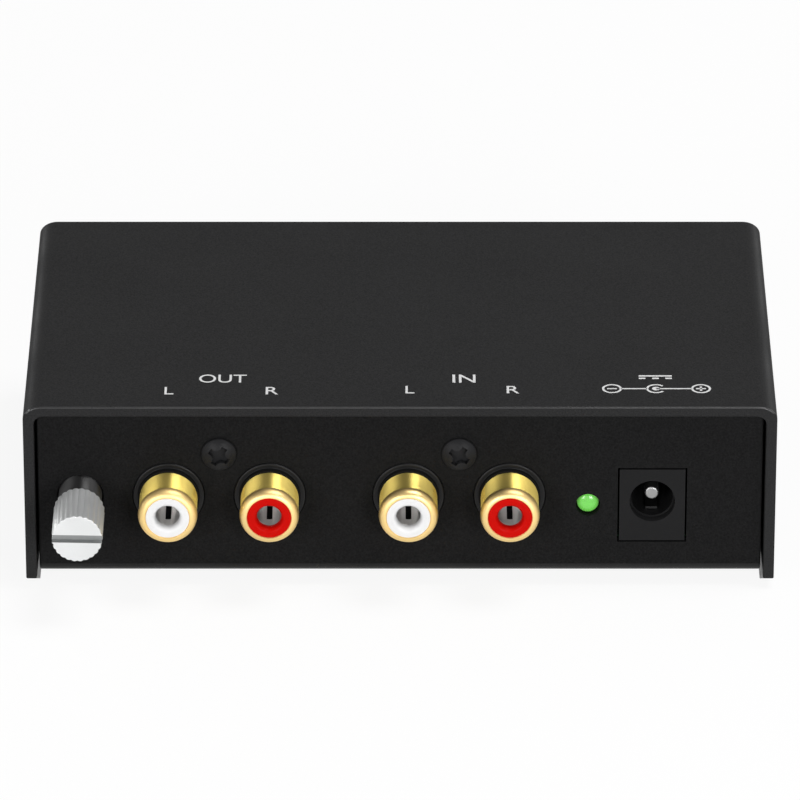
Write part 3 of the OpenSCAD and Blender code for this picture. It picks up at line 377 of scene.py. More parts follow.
def buildFineGrain():
    # fine grain for colour and height, and slow patches for tone
    tree, given, out = newTree("fineGrain", "ShaderNodeTree", [
        ("Color", "NodeSocketColor", (0.5, 0.5, 0.5, 1)),
        *floatInputs({"Grain Scale": 8000.0, "Grain Contrast": 0.1, "Patch Scale": 120.0, "Patch Contrast": 0.05}),
    ], [("Color", "NodeSocketColor"), ("Height", "NodeSocketFloat"), ("Patches", "NodeSocketFloat")])
    place = addNode(tree, "ShaderNodeTexCoord").outputs["Object"]
    grain = nodeOut(tree, "ShaderNodeTexNoise", {
        "Vector": place, "Scale": given["Grain Scale"], "Detail": 3.0, "Roughness": 0.6})
    patch = nodeOut(tree, "ShaderNodeTexNoise", {"Vector": place, "Scale": given["Patch Scale"], "Detail": 4.0})
    half = 0.5  # the middle of both noises
    grainPart = calc(tree, "MULTIPLY_ADD", calc(tree, "SUBTRACT", grain, half), given["Grain Contrast"], half)
    both = calc(tree, "MULTIPLY_ADD", calc(tree, "SUBTRACT", patch, half), given["Patch Contrast"], grainPart)
    tint = scaleBy(tree, given["Color"], calc(tree, "MULTIPLY", both, 2.0))
    tree.links.new(tint, out["Color"])
    tree.links.new(grain, out["Height"])
    tree.links.new(patch, out["Patches"])
    return tree


def buildTurnedRings():
    # fine rings left by turning, along the piece's Y axis
    tree, given, out = newTree("turnedRings", "ShaderNodeTree", floatInputs({
        "Ring Scale": 9000.0, "Ring Contrast": 0.1}), [("Height", "NodeSocketFloat"), ("Gain", "NodeSocketFloat")])
    place = addNode(tree, "ShaderNodeTexCoord").outputs["Object"]
    parts = addNode(tree, "ShaderNodeSeparateXYZ", {0: place}).outputs
    along = calc(tree, "MULTIPLY", parts["Y"], given["Ring Scale"])
    rings = nodeOut(tree, "ShaderNodeTexNoise", {"W": along, "Scale": 1.0, "Detail": 2.0}, noise_dimensions="1D")
    gain = calc(tree, "MULTIPLY_ADD", calc(tree, "SUBTRACT", rings, 0.5), given["Ring Contrast"], 1.0)
    tree.links.new(rings, out["Height"])
    tree.links.new(gain, out["Gain"])
    return tree


fineGrain = buildFineGrain()
turnedRings = buildTurnedRings()


# finishes, one for each material slot, and a few second finishes for parts of a piece

basicLook = {
    "metal": 0.0, "spec": 0.4, "coat": 0.0, "coatRough": 0.1,
    "roughSpread": 0.06,  # how far the patches move the roughness either way
    "patchRange": (0.3, 0.7),  # the noise values that give the least and the most of it
    "patch": (150, 0.08),  # scale, contrast
    "bumpDepth": 0.05,
}


def makeFinish(name, ownLook):
    # a look names color and rough, and grain as (scale, contrast, bump); it may name rings as (scale, contrast),
    # turned for gloss that spreads along the axis, glow, and anything that differs from the basic look
    look = {**basicLook, **ownLook}
    material = bpy.data.materials.new(name)
    tree = emptyTree(material)
    grainScale, grainContrast, bump = look["grain"]
    patchScale, patchContrast = look["patch"]
    surface = addGroup(tree, fineGrain, {
        "Color": (*look["color"], 1), "Grain Scale": grainScale, "Grain Contrast": grainContrast,
        "Patch Scale": patchScale, "Patch Contrast": patchContrast}).outputs
    color, height = surface["Color"], surface["Height"]
    if "rings" in look:
        ringScale, ringContrast = look["rings"]
        rings = addGroup(tree, turnedRings, {"Ring Scale": ringScale, "Ring Contrast": ringContrast}).outputs
        color = scaleBy(tree, color, rings["Gain"])
        height = calc(tree, "ADD", height, rings["Height"])
    leastPatch, mostPatch = look["patchRange"]
    shader = addNode(tree, "ShaderNodeBsdfPrincipled", {
        "Base Color": color,
        "Metallic": look["metal"],
        "Roughness": nodeOut(tree, "ShaderNodeMapRange", {
            "Value": surface["Patches"], "From Min": leastPatch, "From Max": mostPatch,
            "To Min": look["rough"] - look["roughSpread"], "To Max": look["rough"] + look["roughSpread"]}),
        "Normal": nodeOut(tree, "ShaderNodeBump", {
            "Height": height, "Strength": bump, "Distance": look["bumpDepth"] * mm}),
        "Specular IOR Level": look["spec"],
        "Coat Weight": look["coat"],
        "Coat Roughness": look["coatRough"],
    })
    if "turned" in look:
        shader.inputs["Anisotropic"].default_value = look["turned"]
        shader.inputs["Anisotropic Rotation"].default_value = 0.25
        around = nodeOut(tree, "ShaderNodeTangent", direction_type="UV_MAP", uv_map="UVMap")
        tree.links.new(around, shader.inputs["Tangent"])
    if "glow" in look:
        shader.inputs["Emission Color"].default_value = (*look["glow"], 1)
        shader.inputs["Emission Strength"].default_value = 1.0
    addNode(tree, "ShaderNodeOutputMaterial", {"Surface": shader.outputs[0]})
    return material


looks = {
    "cover_paint": {"color": (0.0262, 0.0262, 0.0268), "rough": 0.5, "spec": 0.015,
                    "grain": (4500, 0.75, 0.3), "patch": (60, 0.03)},
    "cover_edge": {"color": (0.0262, 0.0262, 0.0268), "rough": 0.3, "spec": 0.55,
                   "grain": (4500, 0.4, 0.2), "patch": (60, 0.03)},
    "panel_paint": {"color": (0.0112, 0.0112, 0.0114), "rough": 0.5, "spec": 0.02,
                    "grain": (4000, 0.8, 0.3), "patch": (80, 0.04)},
    "panel_edge": {"color": (0.0112, 0.0112, 0.0114), "rough": 0.3, "spec": 0.18,
                   "grain": (4000, 0.4, 0.2), "patch": (80, 0.04)},
    "print_white": {"color": (0.78, 0.78, 0.78), "rough": 0.5, "spec": 0.1, "grain": (9000, 0.06, 0.1)},
    "black_steel": {"color": (0.016, 0.016, 0.017), "rough": 0.4, "spec": 0.1, "grain": (6000, 0.25, 0.3)},
    # near black; on the jack bodies' collars it is painted shade
    "deep_black": {"color": (0.005, 0.005, 0.005), "rough": 0.7, "spec": 0.1, "grain": (5000, 0.2, 0.2)},
    "foot_rubber": {"color": (0.012, 0.012, 0.012), "rough": 0.8, "spec": 0.2, "grain": (5000, 0.2, 0.4)},
    "board_laminate": {"color": (0.02, 0.10, 0.035), "rough": 0.35, "spec": 0.5, "grain": (4000, 0.15, 0.15)},
    "spacer_brass": {"color": (0.80, 0.66, 0.36), "metal": 1.0, "rough": 0.32, "grain": (6000, 0.1, 0.1)},
    "plain_steel": {"color": (0.62, 0.62, 0.64), "metal": 1.0, "rough": 0.3, "grain": (6000, 0.1, 0.1)},
    "black_moulding": {"color": (0.0125, 0.0125, 0.013), "rough": 0.42, "spec": 0.08, "grain": (5000, 0.12, 0.12)},
    "jack_moulding": {"color": (0.0115, 0.0115, 0.012), "rough": 0.36, "spec": 0.2, "grain": (5000, 0.12, 0.12)},
    "white_moulding": {"color": (0.80, 0.80, 0.80), "rough": 0.3, "spec": 0.4,
                       "grain": (4000, 0.02, 0.05), "patch": (300, 0.02)},
    "red_moulding": {"color": (0.54, 0.003, 0.001), "rough": 0.3, "spec": 0.06,
                     "grain": (4000, 0.04, 0.05), "patch": (300, 0.04)},
    "contact_metal": {"color": (0.72, 0.71, 0.70), "metal": 1.0, "rough": 0.4, "grain": (6000, 0.08, 0.1)},
    # painted shade: a darker copy of the contact metal for the power socket's pin, which sits deep in the bore
    "shaded_pin_metal": {"color": (0.40, 0.40, 0.40), "metal": 1.0, "rough": 0.4, "grain": (6000, 0.08, 0.1)},
    # partly a blackened spring, partly painted shade: kept dark so the socket's spring strip sinks into the shade of
    # the bore
    "blackened_spring_and_shade": {"color": (0.07, 0.07, 0.07), "metal": 1.0, "rough": 0.5, "grain": (6000, 0.1, 0.1)},
    "green_lens": {"color": (0.10, 0.47, 0.05), "rough": 0.22, "spec": 0.5, "coat": 0.4,
                   "glow": (0.075, 0.22, 0.045), "grain": (3000, 0.06, 0.02)},
    "tinned_wire": {"color": (0.68, 0.68, 0.68), "metal": 1.0, "rough": 0.38, "grain": (5000, 0.1, 0.1)},
    "brown_moulding": {"color": (0.09, 0.045, 0.022), "rough": 0.45, "spec": 0.4, "grain": (4000, 0.15, 0.15)},
    "track_carbon": {"color": (0.02, 0.02, 0.02), "rough": 0.6, "spec": 0.3, "grain": (5000, 0.2, 0.2)},
    "shaft_black": {"color": (0.012, 0.012, 0.012), "rough": 0.44, "spec": 0.9, "turned": 1.0,
                    "grain": (6000, 0.1, 0.05), "rings": (7000, 0.1)},
    "wiper_brass": {"color": (0.80, 0.55, 0.25), "metal": 1.0, "rough": 0.3, "grain": (6000, 0.1, 0.1)},
    "blue_sleeve": {"color": (0.012, 0.03, 0.14), "rough": 0.3, "spec": 0.5, "grain": (3000, 0.08, 0.05)},
    "black_sleeve": {"color": (0.012, 0.012, 0.016), "rough": 0.3, "spec": 0.5, "grain": (3000, 0.08, 0.05)},
    "red_dip": {"color": (0.42, 0.016, 0.01), "rough": 0.3, "spec": 0.5, "grain": (2500, 0.1, 0.2)},
    "resistor_lacquer": {"color": (0.16, 0.34, 0.50), "rough": 0.35, "spec": 0.5, "grain": (3500, 0.1, 0.1)},
    "gold_plate": {"color": (0.95, 0.75, 0.21), "metal": 1.0, "rough": 0.44, "turned": 1.0,
                   "grain": (6000, 0.03, 0.03), "rings": (9000, 0.06)},
    "gold_head": {"color": (0.96, 0.71, 0.31), "metal": 1.0, "rough": 0.46,
                  "grain": (6000, 0.03, 0.03), "rings": (9000, 0.04)},
    # painted shade for the knob's slot: a darker, duller copy of the knob's plate
    "knob_slot_shade": {"color": (0.36, 0.37, 0.37), "metal": 0.7, "rough": 0.5, "grain": (7000, 0.05, 0.05)},
    "knob_plate": {"color": (0.77, 0.78, 0.78), "metal": 0.62, "rough": 0.42,
                   "grain": (7000, 0.05, 0.05), "rings": (6000, 0.04)},
}
finishes = {name: makeFinish(name, look) for name, look in looks.items()}
print("finishes ready:", len(finishes))


# geometry node trees for turned and repeated pieces

rowInputs = [
    ("Facing", "NodeSocketVector", (-math.pi / 2, 0, 0)),
    ("First Place", "NodeSocketVector", (0, 0, 0)),
    ("Column Step", "NodeSocketVector", (0, 0, 0)),
    ("Columns", "NodeSocketInt", 1),
    ("Row Step", "NodeSocketVector", (0, 0, 0)),
    ("Rows", "NodeSocketInt", 1),
    ("Left Side Turn", "NodeSocketFloat", 0.0),
]


def keepFactor(tree, curve, label):
    # remembers how far along the curve each point lies
    kept = addNode(tree, "GeometryNodeCaptureAttribute", {"Geometry": curve})
    kept.capture_items.new("FLOAT", label)
    tree.links.new(addNode(tree, "GeometryNodeSplineParameter").outputs["Factor"], kept.inputs[label])
    return kept.outputs["Geometry"], kept.outputs[label]


def buildTurnSection():
    # spins a half section round the axis, and the section's Y becomes -Z
    tree, given, out = newTree("turnSection", "GeometryNodeTree", [
        ("Section", "NodeSocketGeometry", None), ("Turns", "NodeSocketInt", 96)])
    ring = 1 * mm  # any small circle does, since the section is moved in by the same amount
    section, along = keepFactor(tree, nodeOut(tree, "GeometryNodeMeshToCurve", {"Mesh": given["Section"]}), "Along")
    circle, around = keepFactor(tree, nodeOut(tree, "GeometryNodeCurvePrimitiveCircle", {
        "Resolution": given["Turns"], "Radius": ring}), "Around")
    upright = nodeOut(tree, "GeometryNodeSetCurveNormal", {"Curve": circle}, mode="Z_UP")
    spun = nodeOut(tree, "GeometryNodeCurveToMesh", {
        "Curve": upright, "Profile Curve": placePart(tree, section, Translation=(-ring, 0, 0))})
    merged = nodeOut(tree, "GeometryNodeMergeByDistance", {"Geometry": spun, "Distance": 1e-7})
    mapped = nodeOut(tree, "GeometryNodeStoreNamedAttribute", {
        "Geometry": merged, "Name": "UVMap", "Value": joinXYZ(tree, X=around, Y=along)},
        data_type="FLOAT2", domain="CORNER")
    tree.links.new(mapped, out["Geometry"])
    return tree


def buildPlaceRows():
    # copies a part onto a grid of places; parts left of the middle can be turned half round
    tree, given, out = newTree("placeRows", "GeometryNodeTree", [("Part", "NodeSocketGeometry", None), *rowInputs])
    columns = nodeOut(tree, "GeometryNodeMeshLine", {
        "Count": given["Columns"], "Offset": given["Column Step"]}, mode="OFFSET")
    rows = nodeOut(tree, "GeometryNodeMeshLine", {
        "Count": given["Rows"], "Start Location": given["First Place"], "Offset": given["Row Step"]}, mode="OFFSET")
    grid = nodeOut(tree, "GeometryNodeInstanceOnPoints", {"Points": rows, "Instance": columns})
    spot = addNode(tree, "ShaderNodeSeparateXYZ", {0: nodeOut(tree, "GeometryNodeInputPosition")}).outputs
    turn = calc(tree, "MULTIPLY", calc(tree, "LESS_THAN", spot["X"], 0.0), given["Left Side Turn"])
    copies = nodeOut(tree, "GeometryNodeInstanceOnPoints", {
        "Points": nodeOut(tree, "GeometryNodeRealizeInstances", {0: grid}),
        "Instance": placePart(tree, given["Part"], Rotation=given["Facing"]),
        "Rotation": joinXYZ(tree, Z=turn)})
    tree.links.new(copies, out["Geometry"])
    return tree


turnSection = buildTurnSection()
placeRows = buildPlaceRows()


def startTurned(name, turns, sizes):
    # a tree with its inputs and its output, and the turned part that it starts from
    tree, given, out = newTree(name, "GeometryNodeTree", [
        ("Section", "NodeSocketGeometry", None), ("Turns", "NodeSocketInt", turns),
        *floatInputs(sizes), *rowInputs, ("Material", "NodeSocketMaterial", None)])
    part = addGroup(tree, turnSection, {"Section": given["Section"], "Turns": given["Turns"]})
    return tree, given, out, part.outputs[0]


def endTree(tree, given, out, part):
    solid = nodeOut(tree, "GeometryNodeRealizeInstances", {0: part})
    painted = nodeOut(tree, "GeometryNodeSetMaterial", {"Geometry": solid, "Material": given["Material"]})
    tree.links.new(painted, out["Geometry"])
    return tree


def endInRows(tree, given, out, part):
    # the last steps that every repeated piece shares
    rows = addGroup(tree, placeRows, {"Part": part, **{label: given[label] for label, kind, value in rowInputs}})
    return endTree(tree, given, out, rows.outputs[0])


def buildCrossScrews():
    # a turned head and shank with a cross recess whose four flanks are hollowed
    tree, given, out, part = startTurned("crossScrews", 96, {
        "Recess Span": 2.7 * mm, "Flank Radius": 0.63 * mm, "Flank Offset": 0.97 * mm,
        "Recess Depth": 0.85 * mm, "Recess Angle": 1.0, "Head Height": 1.35 * mm})
    span, deep = given["Recess Span"], calc(tree, "MULTIPLY", given["Recess Depth"], 2.0)
    block = nodeOut(tree, "GeometryNodeMeshCube", {"Size": joinXYZ(tree, X=span, Y=span, Z=deep)})
    spacing = calc(tree, "MULTIPLY", given["Flank Offset"], 2.0)
    corners = nodeOut(tree, "GeometryNodeMeshGrid", {
        "Size X": spacing, "Size Y": spacing, "Vertices X": 2, "Vertices Y": 2})
    flank = nodeOut(tree, "GeometryNodeMeshCylinder", {
        "Vertices": 40, "Radius": given["Flank Radius"], "Depth": calc(tree, "MULTIPLY", deep, 2.0)})
    flanks = nodeOut(tree, "GeometryNodeInstanceOnPoints", {"Points": corners, "Instance": flank})
    star = cutAway(tree, block, nodeOut(tree, "GeometryNodeRealizeInstances", {0: flanks}))
    top = calc(tree, "MULTIPLY", given["Head Height"], -1.0)
    recess = placePart(tree, star, Translation=joinXYZ(tree, Z=top), Rotation=joinXYZ(tree, Z=given["Recess Angle"]))
    return endInRows(tree, given, out, cutAway(tree, part, recess))


def buildSlitSleeves():
    # a turned tube with a slit along its underside
    tree, given, out, part = startTurned("slitSleeves", 64, {
        "Slit Width": 0.8 * mm, "Slit Length": 4.7 * mm, "Slit Middle": 1.75 * mm, "Tube Radius": 2.06 * mm})
    radius = given["Tube Radius"]
    block = nodeOut(tree, "GeometryNodeMeshCube", {
        "Size": joinXYZ(tree, X=given["Slit Width"], Y=radius, Z=given["Slit Length"])})
    back = calc(tree, "MULTIPLY", given["Slit Middle"], -1.0)
    slit = placePart(tree, block, Translation=joinXYZ(tree, Y=radius, Z=back))
    return endInRows(tree, given, out, cutAway(tree, part, slit))


def buildKnurledKnob():
    # rounded teeth by rule, a soft rim at both ends, a slot across the face and a blind bore behind
    tree, given, out = newTree("knurledKnob", "GeometryNodeTree", [
        ("Geometry", "NodeSocketGeometry", None),
        ("Teeth", "NodeSocketInt", 24), ("Points Per Tooth", "NodeSocketInt", 12),
        *floatInputs({
            "Radius": 3.5 * mm, "Tooth Depth": 0.14 * mm, "Length": 8.6 * mm, "Rim": 0.12 * mm,
            "Slot Width": 1.17 * mm, "Slot Depth": 1.0 * mm, "Slot Angle": 0.0,
            "Bore Radius": 3.0 * mm, "Bore Depth": 6.6 * mm}),
        ("Back Place", "NodeSocketVector", (0, 0, 0)), ("Material", "NodeSocketMaterial", None)])
    radius, length, rim = given["Radius"], given["Length"], given["Rim"]
    index = nodeOut(tree, "GeometryNodeInputIndex")

    # the toothed outline
    outline = nodeOut(tree, "GeometryNodeCurvePrimitiveCircle", {
        "Resolution": calc(tree, "MULTIPLY", given["Teeth"], given["Points Per Tooth"]), "Radius": radius})
    phase = calc(tree, "MULTIPLY", calc(tree, "DIVIDE", index, given["Points Per Tooth"]), math.pi)
    lift = calc(tree, "ABSOLUTE", calc(tree, "SINE", phase))
    drop = calc(tree, "MULTIPLY", calc(tree, "SUBTRACT", 1.0, lift), given["Tooth Depth"])
    keep = calc(tree, "SUBTRACT", 1.0, calc(tree, "DIVIDE", drop, radius))
    toothed = nodeOut(tree, "GeometryNodeSetPosition", {
        "Geometry": outline, "Position": scaleBy(tree, nodeOut(tree, "GeometryNodeInputPosition"), keep)})

    # the axis line has its points packed towards both ends, where the rim rounds over
    steps = 28
    line = nodeOut(tree, "GeometryNodeMeshLine", {"Count": steps + 1, "Offset": (0, 0, mm)}, mode="OFFSET")
    ease = calc(tree, "COSINE", calc(tree, "MULTIPLY", index, math.pi / steps))
    height = calc(tree, "MULTIPLY", calc(tree, "MULTIPLY_ADD", ease, -0.5, 0.5), length)
    rail = nodeOut(tree, "GeometryNodeSetPosition", {"Geometry": line, "Position": joinXYZ(tree, Z=height)})
    nearEnd = calc(tree, "MINIMUM", height, calc(tree, "SUBTRACT", length, height))
    shy = calc(tree, "SUBTRACT", 1.0, calc(tree, "DIVIDE", nearEnd, rim), clamp=True)
    inside = calc(tree, "SQRT", calc(tree, "SUBTRACT", 1.0, calc(tree, "POWER", shy, 2.0)))
    inset = calc(tree, "MULTIPLY", calc(tree, "SUBTRACT", 1.0, inside), rim)
    body = nodeOut(tree, "GeometryNodeCurveToMesh", {
        "Curve": nodeOut(tree, "GeometryNodeMeshToCurve", {"Mesh": rail}), "Profile Curve": toothed,
        "Scale": calc(tree, "SUBTRACT", 1.0, calc(tree, "DIVIDE", inset, radius)), "Fill Caps": True})

    # the slot and the bore
    slotSize = joinXYZ(tree, X=calc(tree, "MULTIPLY", radius, 3.0), Y=given["Slot Width"],
                       Z=calc(tree, "MULTIPLY", given["Slot Depth"], 2.0))
    slot = placePart(tree, nodeOut(tree, "GeometryNodeMeshCube", {"Size": slotSize}),
                     Translation=joinXYZ(tree, Z=length), Rotation=joinXYZ(tree, Z=given["Slot Angle"]))
    bore = nodeOut(tree, "GeometryNodeMeshCylinder", {
        "Vertices": 96, "Radius": given["Bore Radius"], "Depth": calc(tree, "MULTIPLY", given["Bore Depth"], 2.0)})
    knob = cutAway(tree, cutAway(tree, body, slot), bore)
    facing = placePart(tree, knob, Rotation=(math.pi / 2, 0, 0), Translation=given["Back Place"])
    return endTree(tree, given, out, facing)


turnedRow = endInRows(*startTurned("turnedRow", 96, {}))
crossScrews = buildCrossScrews()
slitSleeves = buildSlitSleeves()
knurledKnob = buildKnurledKnob()
print("node trees ready")


# where things are

spots = {
    "panelY": -23.1,
    "innerY": -21.9,
    "firstJackX": -32.03,
    "jackPitch": 14.0,
    "pairSpacing": 33.2,
    "jackZ": 14.25,
    "screwZ": 20.75,
    "knobX": -44.28,
    "knobZ": 14.1,
    "lampX": 26.05,
    "lampZ": 12.7,
}
jackXs = [spots["firstJackX"] + pair + side for pair in (0, spots["pairSpacing"]) for side in (0, spots["jackPitch"])]


def placing(first, column=(0, 0, 0), columns=1, row=(0, 0, 0), rows=1):
    first, column, row = [tuple(value * mm for value in place) for place in (first, column, row)]
    return {"First Place": first, "Column Step": column, "Columns": columns, "Row Step": row, "Rows": rows}


def jackRows(firstX, columns):
    # both pairs, with one or two jacks of each
    return placing((firstX, spots["panelY"], spots["jackZ"]), (spots["jackPitch"], 0, 0), columns,
                   (spots["pairSpacing"], 0, 0), 2)


# sheet metal

cover = {
    "width": 104.0, "front": -24.0, "back": 36.0, "base": 1.6, "top": 28.3,
    "sheet": 1.5,
    "outerBend": (2.6, 2.0),  # across and down
    "innerBend": (1.5, 1.25),
    "edge": 0.2,
    "screwHead": 5.76, "screwSink": 0.1, "screwCone": 1.3, "screwHole": 3.32,
    "cutterReach": (-3, 4),  # out past the face and in through the sheet
    "screwX": 52.0, "screwY": -4.9, "screwStep": 21.8, "screwZ": 9.6,
}
sideScrewRows = {
    **placing((-cover["screwX"], cover["screwY"], cover["screwZ"]), (2 * cover["screwX"], 0, 0), 2,
              (0, cover["screwStep"], 0), 2),
    "Left Side Turn": math.pi,
}


def buildCover():
    half, top, base, sheet = cover["width"] / 2, cover["top"], cover["base"], cover["sheet"]
    ox, oz = cover["outerBend"]
    ix, iz = cover["innerBend"]
    outer = [(half, base)] + arc(half - ox, top - oz, ox, oz, 0, 90, 16)
    inner = [(half - sheet, base)] + arc(half - sheet - ix, top - sheet - iz, ix, iz, 0, 90, 16)
    loop = outer + [(-x, z) for x, z in reversed(outer)] + [(-x, z) for x, z in inner] + list(reversed(inner))
    count = len(loop)
    points = [(x, y, z) for y in (cover["front"], cover["back"]) for x, z in loop]
    faces = [(i, (i + 1) % count, count + (i + 1) % count, count + i) for i in range(count)]
    faces += [tuple(reversed(range(count))), tuple(range(count, 2 * count))]
    obj = meshObject("coverSheet", points, faces=faces)
    closeMesh(obj)
    softenEdges(obj, cover["edge"], 60, 4)
    head, hole, sink = cover["screwHead"] / 2, cover["screwHole"] / 2, cover["screwSink"]
    outside, inside = cover["cutterReach"]
    section = [(0, outside), (head, outside), (head, sink), (hole, sink + cover["screwCone"]),
               (hole, inside), (0, inside)]
    cutWith(obj, turnPiece("countersink", "cover_paint", turnedRow, section, {
        "Turns": 64, "Facing": (0.0, math.pi / 2, 0.0), **sideScrewRows}))
    finishPiece(obj, "coverSheet", "case", "cover_paint", ["top_cover"], sharp=30)
    # smoother, glossier paint on the rounded front and back edges of the top
    refinish(obj, "cover_edge", lambda at, way: abs(way.y) > 0.1 and way.z > 0.1 and at.z > top - 1)


buildCover()
tray = softCopy("bottom_tray", "frontTray", "panel_paint", edge=0.1, angle=62, sharp=30)
# smoother, glossier paint along the two long lower bends
refinish(tray, "panel_edge", lambda at, way: abs(way.y) > 0.2 and -0.85 < way.z < -0.1 and at.z < 4)


# phono jacks

jack = {
    "radius": 4.0, "headRadius": 4.1, "seat": 3.85, "back": -8.2, "collarReach": 1.07,
    "reach": 7.05, "headLength": 1.3, "roll": (0.98, 1.2), "groove": 0.1, "grooveStep": 0.03, "grooveLength": 0.58,
    "insert": 3.025, "edge": 0.12, "pinHole": 1.66,
    "funnel": 2.25, "funnelDepth": 0.9, "funnelSteps": 10, "throat": 0.25,
    "mouth": (0.08, 0.002),  # the funnel's last step onto the face: outwards, and below the face
    "sleeveWall": 0.4, "sleeveLength": 7.0, "sleeveFloor": 0.5, "sleeveLip": 0.1,
    "slitWidth": 0.8, "slitStart": 1.8,
    "tailWidth": 1.6, "tailSheet": 0.5, "tailFoot": 4.4,
    "shellTailY": 6.0, "sleeveTailY": 9.0,  # how far behind the panel's inner face they stand
    "shellTailTop": -3.73,  # from the jack's axis
    "tailSink": 0.2,  # how far a sleeve's tail runs into its back
}


def tailBoxes(y, low, high, depth=jack["tailSheet"]):
    # one box behind each jack
    side = jack["tailWidth"] / 2
    return [((x - side, y, low), (x + side, y + depth, high)) for x in jackXs]


def buildShells():
    r, head, reach, (rollIn, rollAlong) = jack["radius"], jack["headRadius"], jack["reach"], jack["roll"]
    grooveAt, edge = reach - jack["headLength"], jack["edge"]
    section = [
        (jack["insert"], jack["back"]), (jack["seat"], jack["back"]), (jack["seat"], jack["collarReach"]),
        (r, jack["collarReach"]), (r, grooveAt - jack["grooveLength"]), (r - jack["groove"], grooveAt),
        (head, grooveAt + jack["grooveStep"]),
        *arc(head - rollIn, reach - rollAlong, rollIn, rollAlong, 0, 90, 16),
        (jack["insert"] + edge, reach), (jack["insert"], reach - edge)]
    obj = turnPiece("goldShells", "gold_plate", turnedRow, section, {"Turns": 128, **jackRows(jackXs[0], 2)})
    tailTop = spots["jackZ"] + jack["shellTailTop"]
    addBoxes(obj, tailBoxes(spots["innerY"] + jack["shellTailY"], jack["tailFoot"], tailTop))
    finishPiece(obj, "goldShells", "case", "gold_plate", [
        "output_left_shell", "output_right_shell", "input_left_shell", "input_right_shell"], sharp=32)
    # the heads have a paler, slightly redder plate with fainter turning marks
    grooveY = spots["panelY"] - grooveAt
    refinish(obj, "gold_head", lambda at, way: at.y < grooveY - 0.02)


def buildInserts(name, slotName, firstX, nodes):
    reach, hole, rim, edge = jack["reach"], jack["pinHole"], jack["insert"], jack["edge"]
    depth, steps = jack["funnelDepth"], jack["funnelSteps"]
    funnelEnd, flare, bore = reach - depth, jack["funnel"] - hole, hole + jack["sleeveWall"]
    throatEnd = funnelEnd - jack["throat"]
    out, down = jack["mouth"]
    angles = [math.radians(90 * i / steps) for i in range(1, steps)]
    section = [
        (hole, throatEnd), (hole, funnelEnd),
        *((hole + flare * (1 - math.cos(a)), funnelEnd + depth * math.sin(a)) for a in angles),
        (jack["funnel"] + out, reach - down),
        *arc(rim - edge, reach - edge, edge, edge, 90, 0, 3),
        (rim, jack["back"]), (bore, jack["back"]), (bore, throatEnd)]
    obj = turnPiece(name, slotName, turnedRow, section, {"Turns": 96, **jackRows(firstX, 1)})
    finishPiece(obj, name, "case", slotName, nodes, sharp=40)
    # behind the throat the bore that holds the sleeve takes the near-black finish
    throatY = spots["panelY"] - throatEnd
    refinish(obj, "deep_black", lambda at, way: at.y > throatY - 0.01 and math.hypot(
        min(abs(at.x - x) for x in jackXs), at.z - spots["jackZ"]) < bore + 0.1)


def buildSleeves():
    front = jack["reach"] - jack["funnelDepth"] - jack["throat"]
    back = front - jack["sleeveLength"]
    floor = back + jack["sleeveFloor"]
    hole, tube, lip = jack["pinHole"], jack["pinHole"] + jack["sleeveWall"], jack["sleeveLip"]
    section = [(0, floor), (hole, floor), (hole, front - lip), (hole + lip, front),
               (tube, front), (tube, back), (0, back)]
    slitFront = front - jack["slitStart"]
    obj = turnPiece("sprungSleeves", "contact_metal", slitSleeves, section, {
        "Turns": 72, "Slit Width": jack["slitWidth"] * mm, "Slit Length": (slitFront - floor) * mm,
        "Slit Middle": (slitFront + floor) / 2 * mm, "Tube Radius": tube * mm, **jackRows(jackXs[0], 2)})
    z, half = spots["jackZ"], jack["tailSheet"] / 2
    startY, tailY = spots["panelY"] - back - jack["tailSink"], spots["innerY"] + jack["sleeveTailY"]
    addBoxes(obj, tailBoxes(startY, z - half, z + half, tailY + jack["tailSheet"] - startY)
             + tailBoxes(tailY, jack["tailFoot"], z + half))
    finishPiece(obj, "sprungSleeves", "case", "contact_metal", [
        "output_left_contact", "output_right_contact", "input_left_contact", "input_right_contact"], sharp=30)


buildShells()
buildInserts("whiteInserts", "white_moulding", jackXs[0], ["output_left_insert", "input_left_insert"])
buildInserts("redInserts", "red_moulding", jackXs[1], ["output_right_insert", "input_right_insert"])
buildSleeves()
for pair in ("output", "input"):
    body = softCopy(pair + "_jack_body", pair + "JackBody", "black_moulding", edge=0.09, angle=35, sharp=40,
                    look="jack_moulding")
    # painted shade: the collars round the shells take the near-black finish, darker than the jack body's own black
    refinish(body, "deep_black", lambda at, way: at.y < spots["panelY"] - 0.25)
print("phono jacks ready")


# screws and feet

jackScrew = {
    "head": 4.8, "height": 1.35, "side": 0.35,  # side is a share of the height
    "rim": 0.08, "shank": 2.6, "length": 8.0, "tip": (0.3, 0.4), "angle": 57.0,
    "span": 3.0, "flankRadius": 0.8, "flankOffset": 1.22, "depth": 1.1,
}
coverScrew = {
    "head": 5.6, "cone": 1.3, "rim": (0.05, 0.06), "shank": 3.0, "length": 5.0, "tip": (0.3, 0.4),
    "turn": 0.35,  # radians
    "span": 2.7, "flankRadius": 0.63, "flankOffset": 0.97, "depth": 0.85,
}


def recessSizes(screw):
    return {"Recess Span": screw["span"] * mm, "Flank Radius": screw["flankRadius"] * mm,
            "Flank Offset": screw["flankOffset"] * mm, "Recess Depth": screw["depth"] * mm}


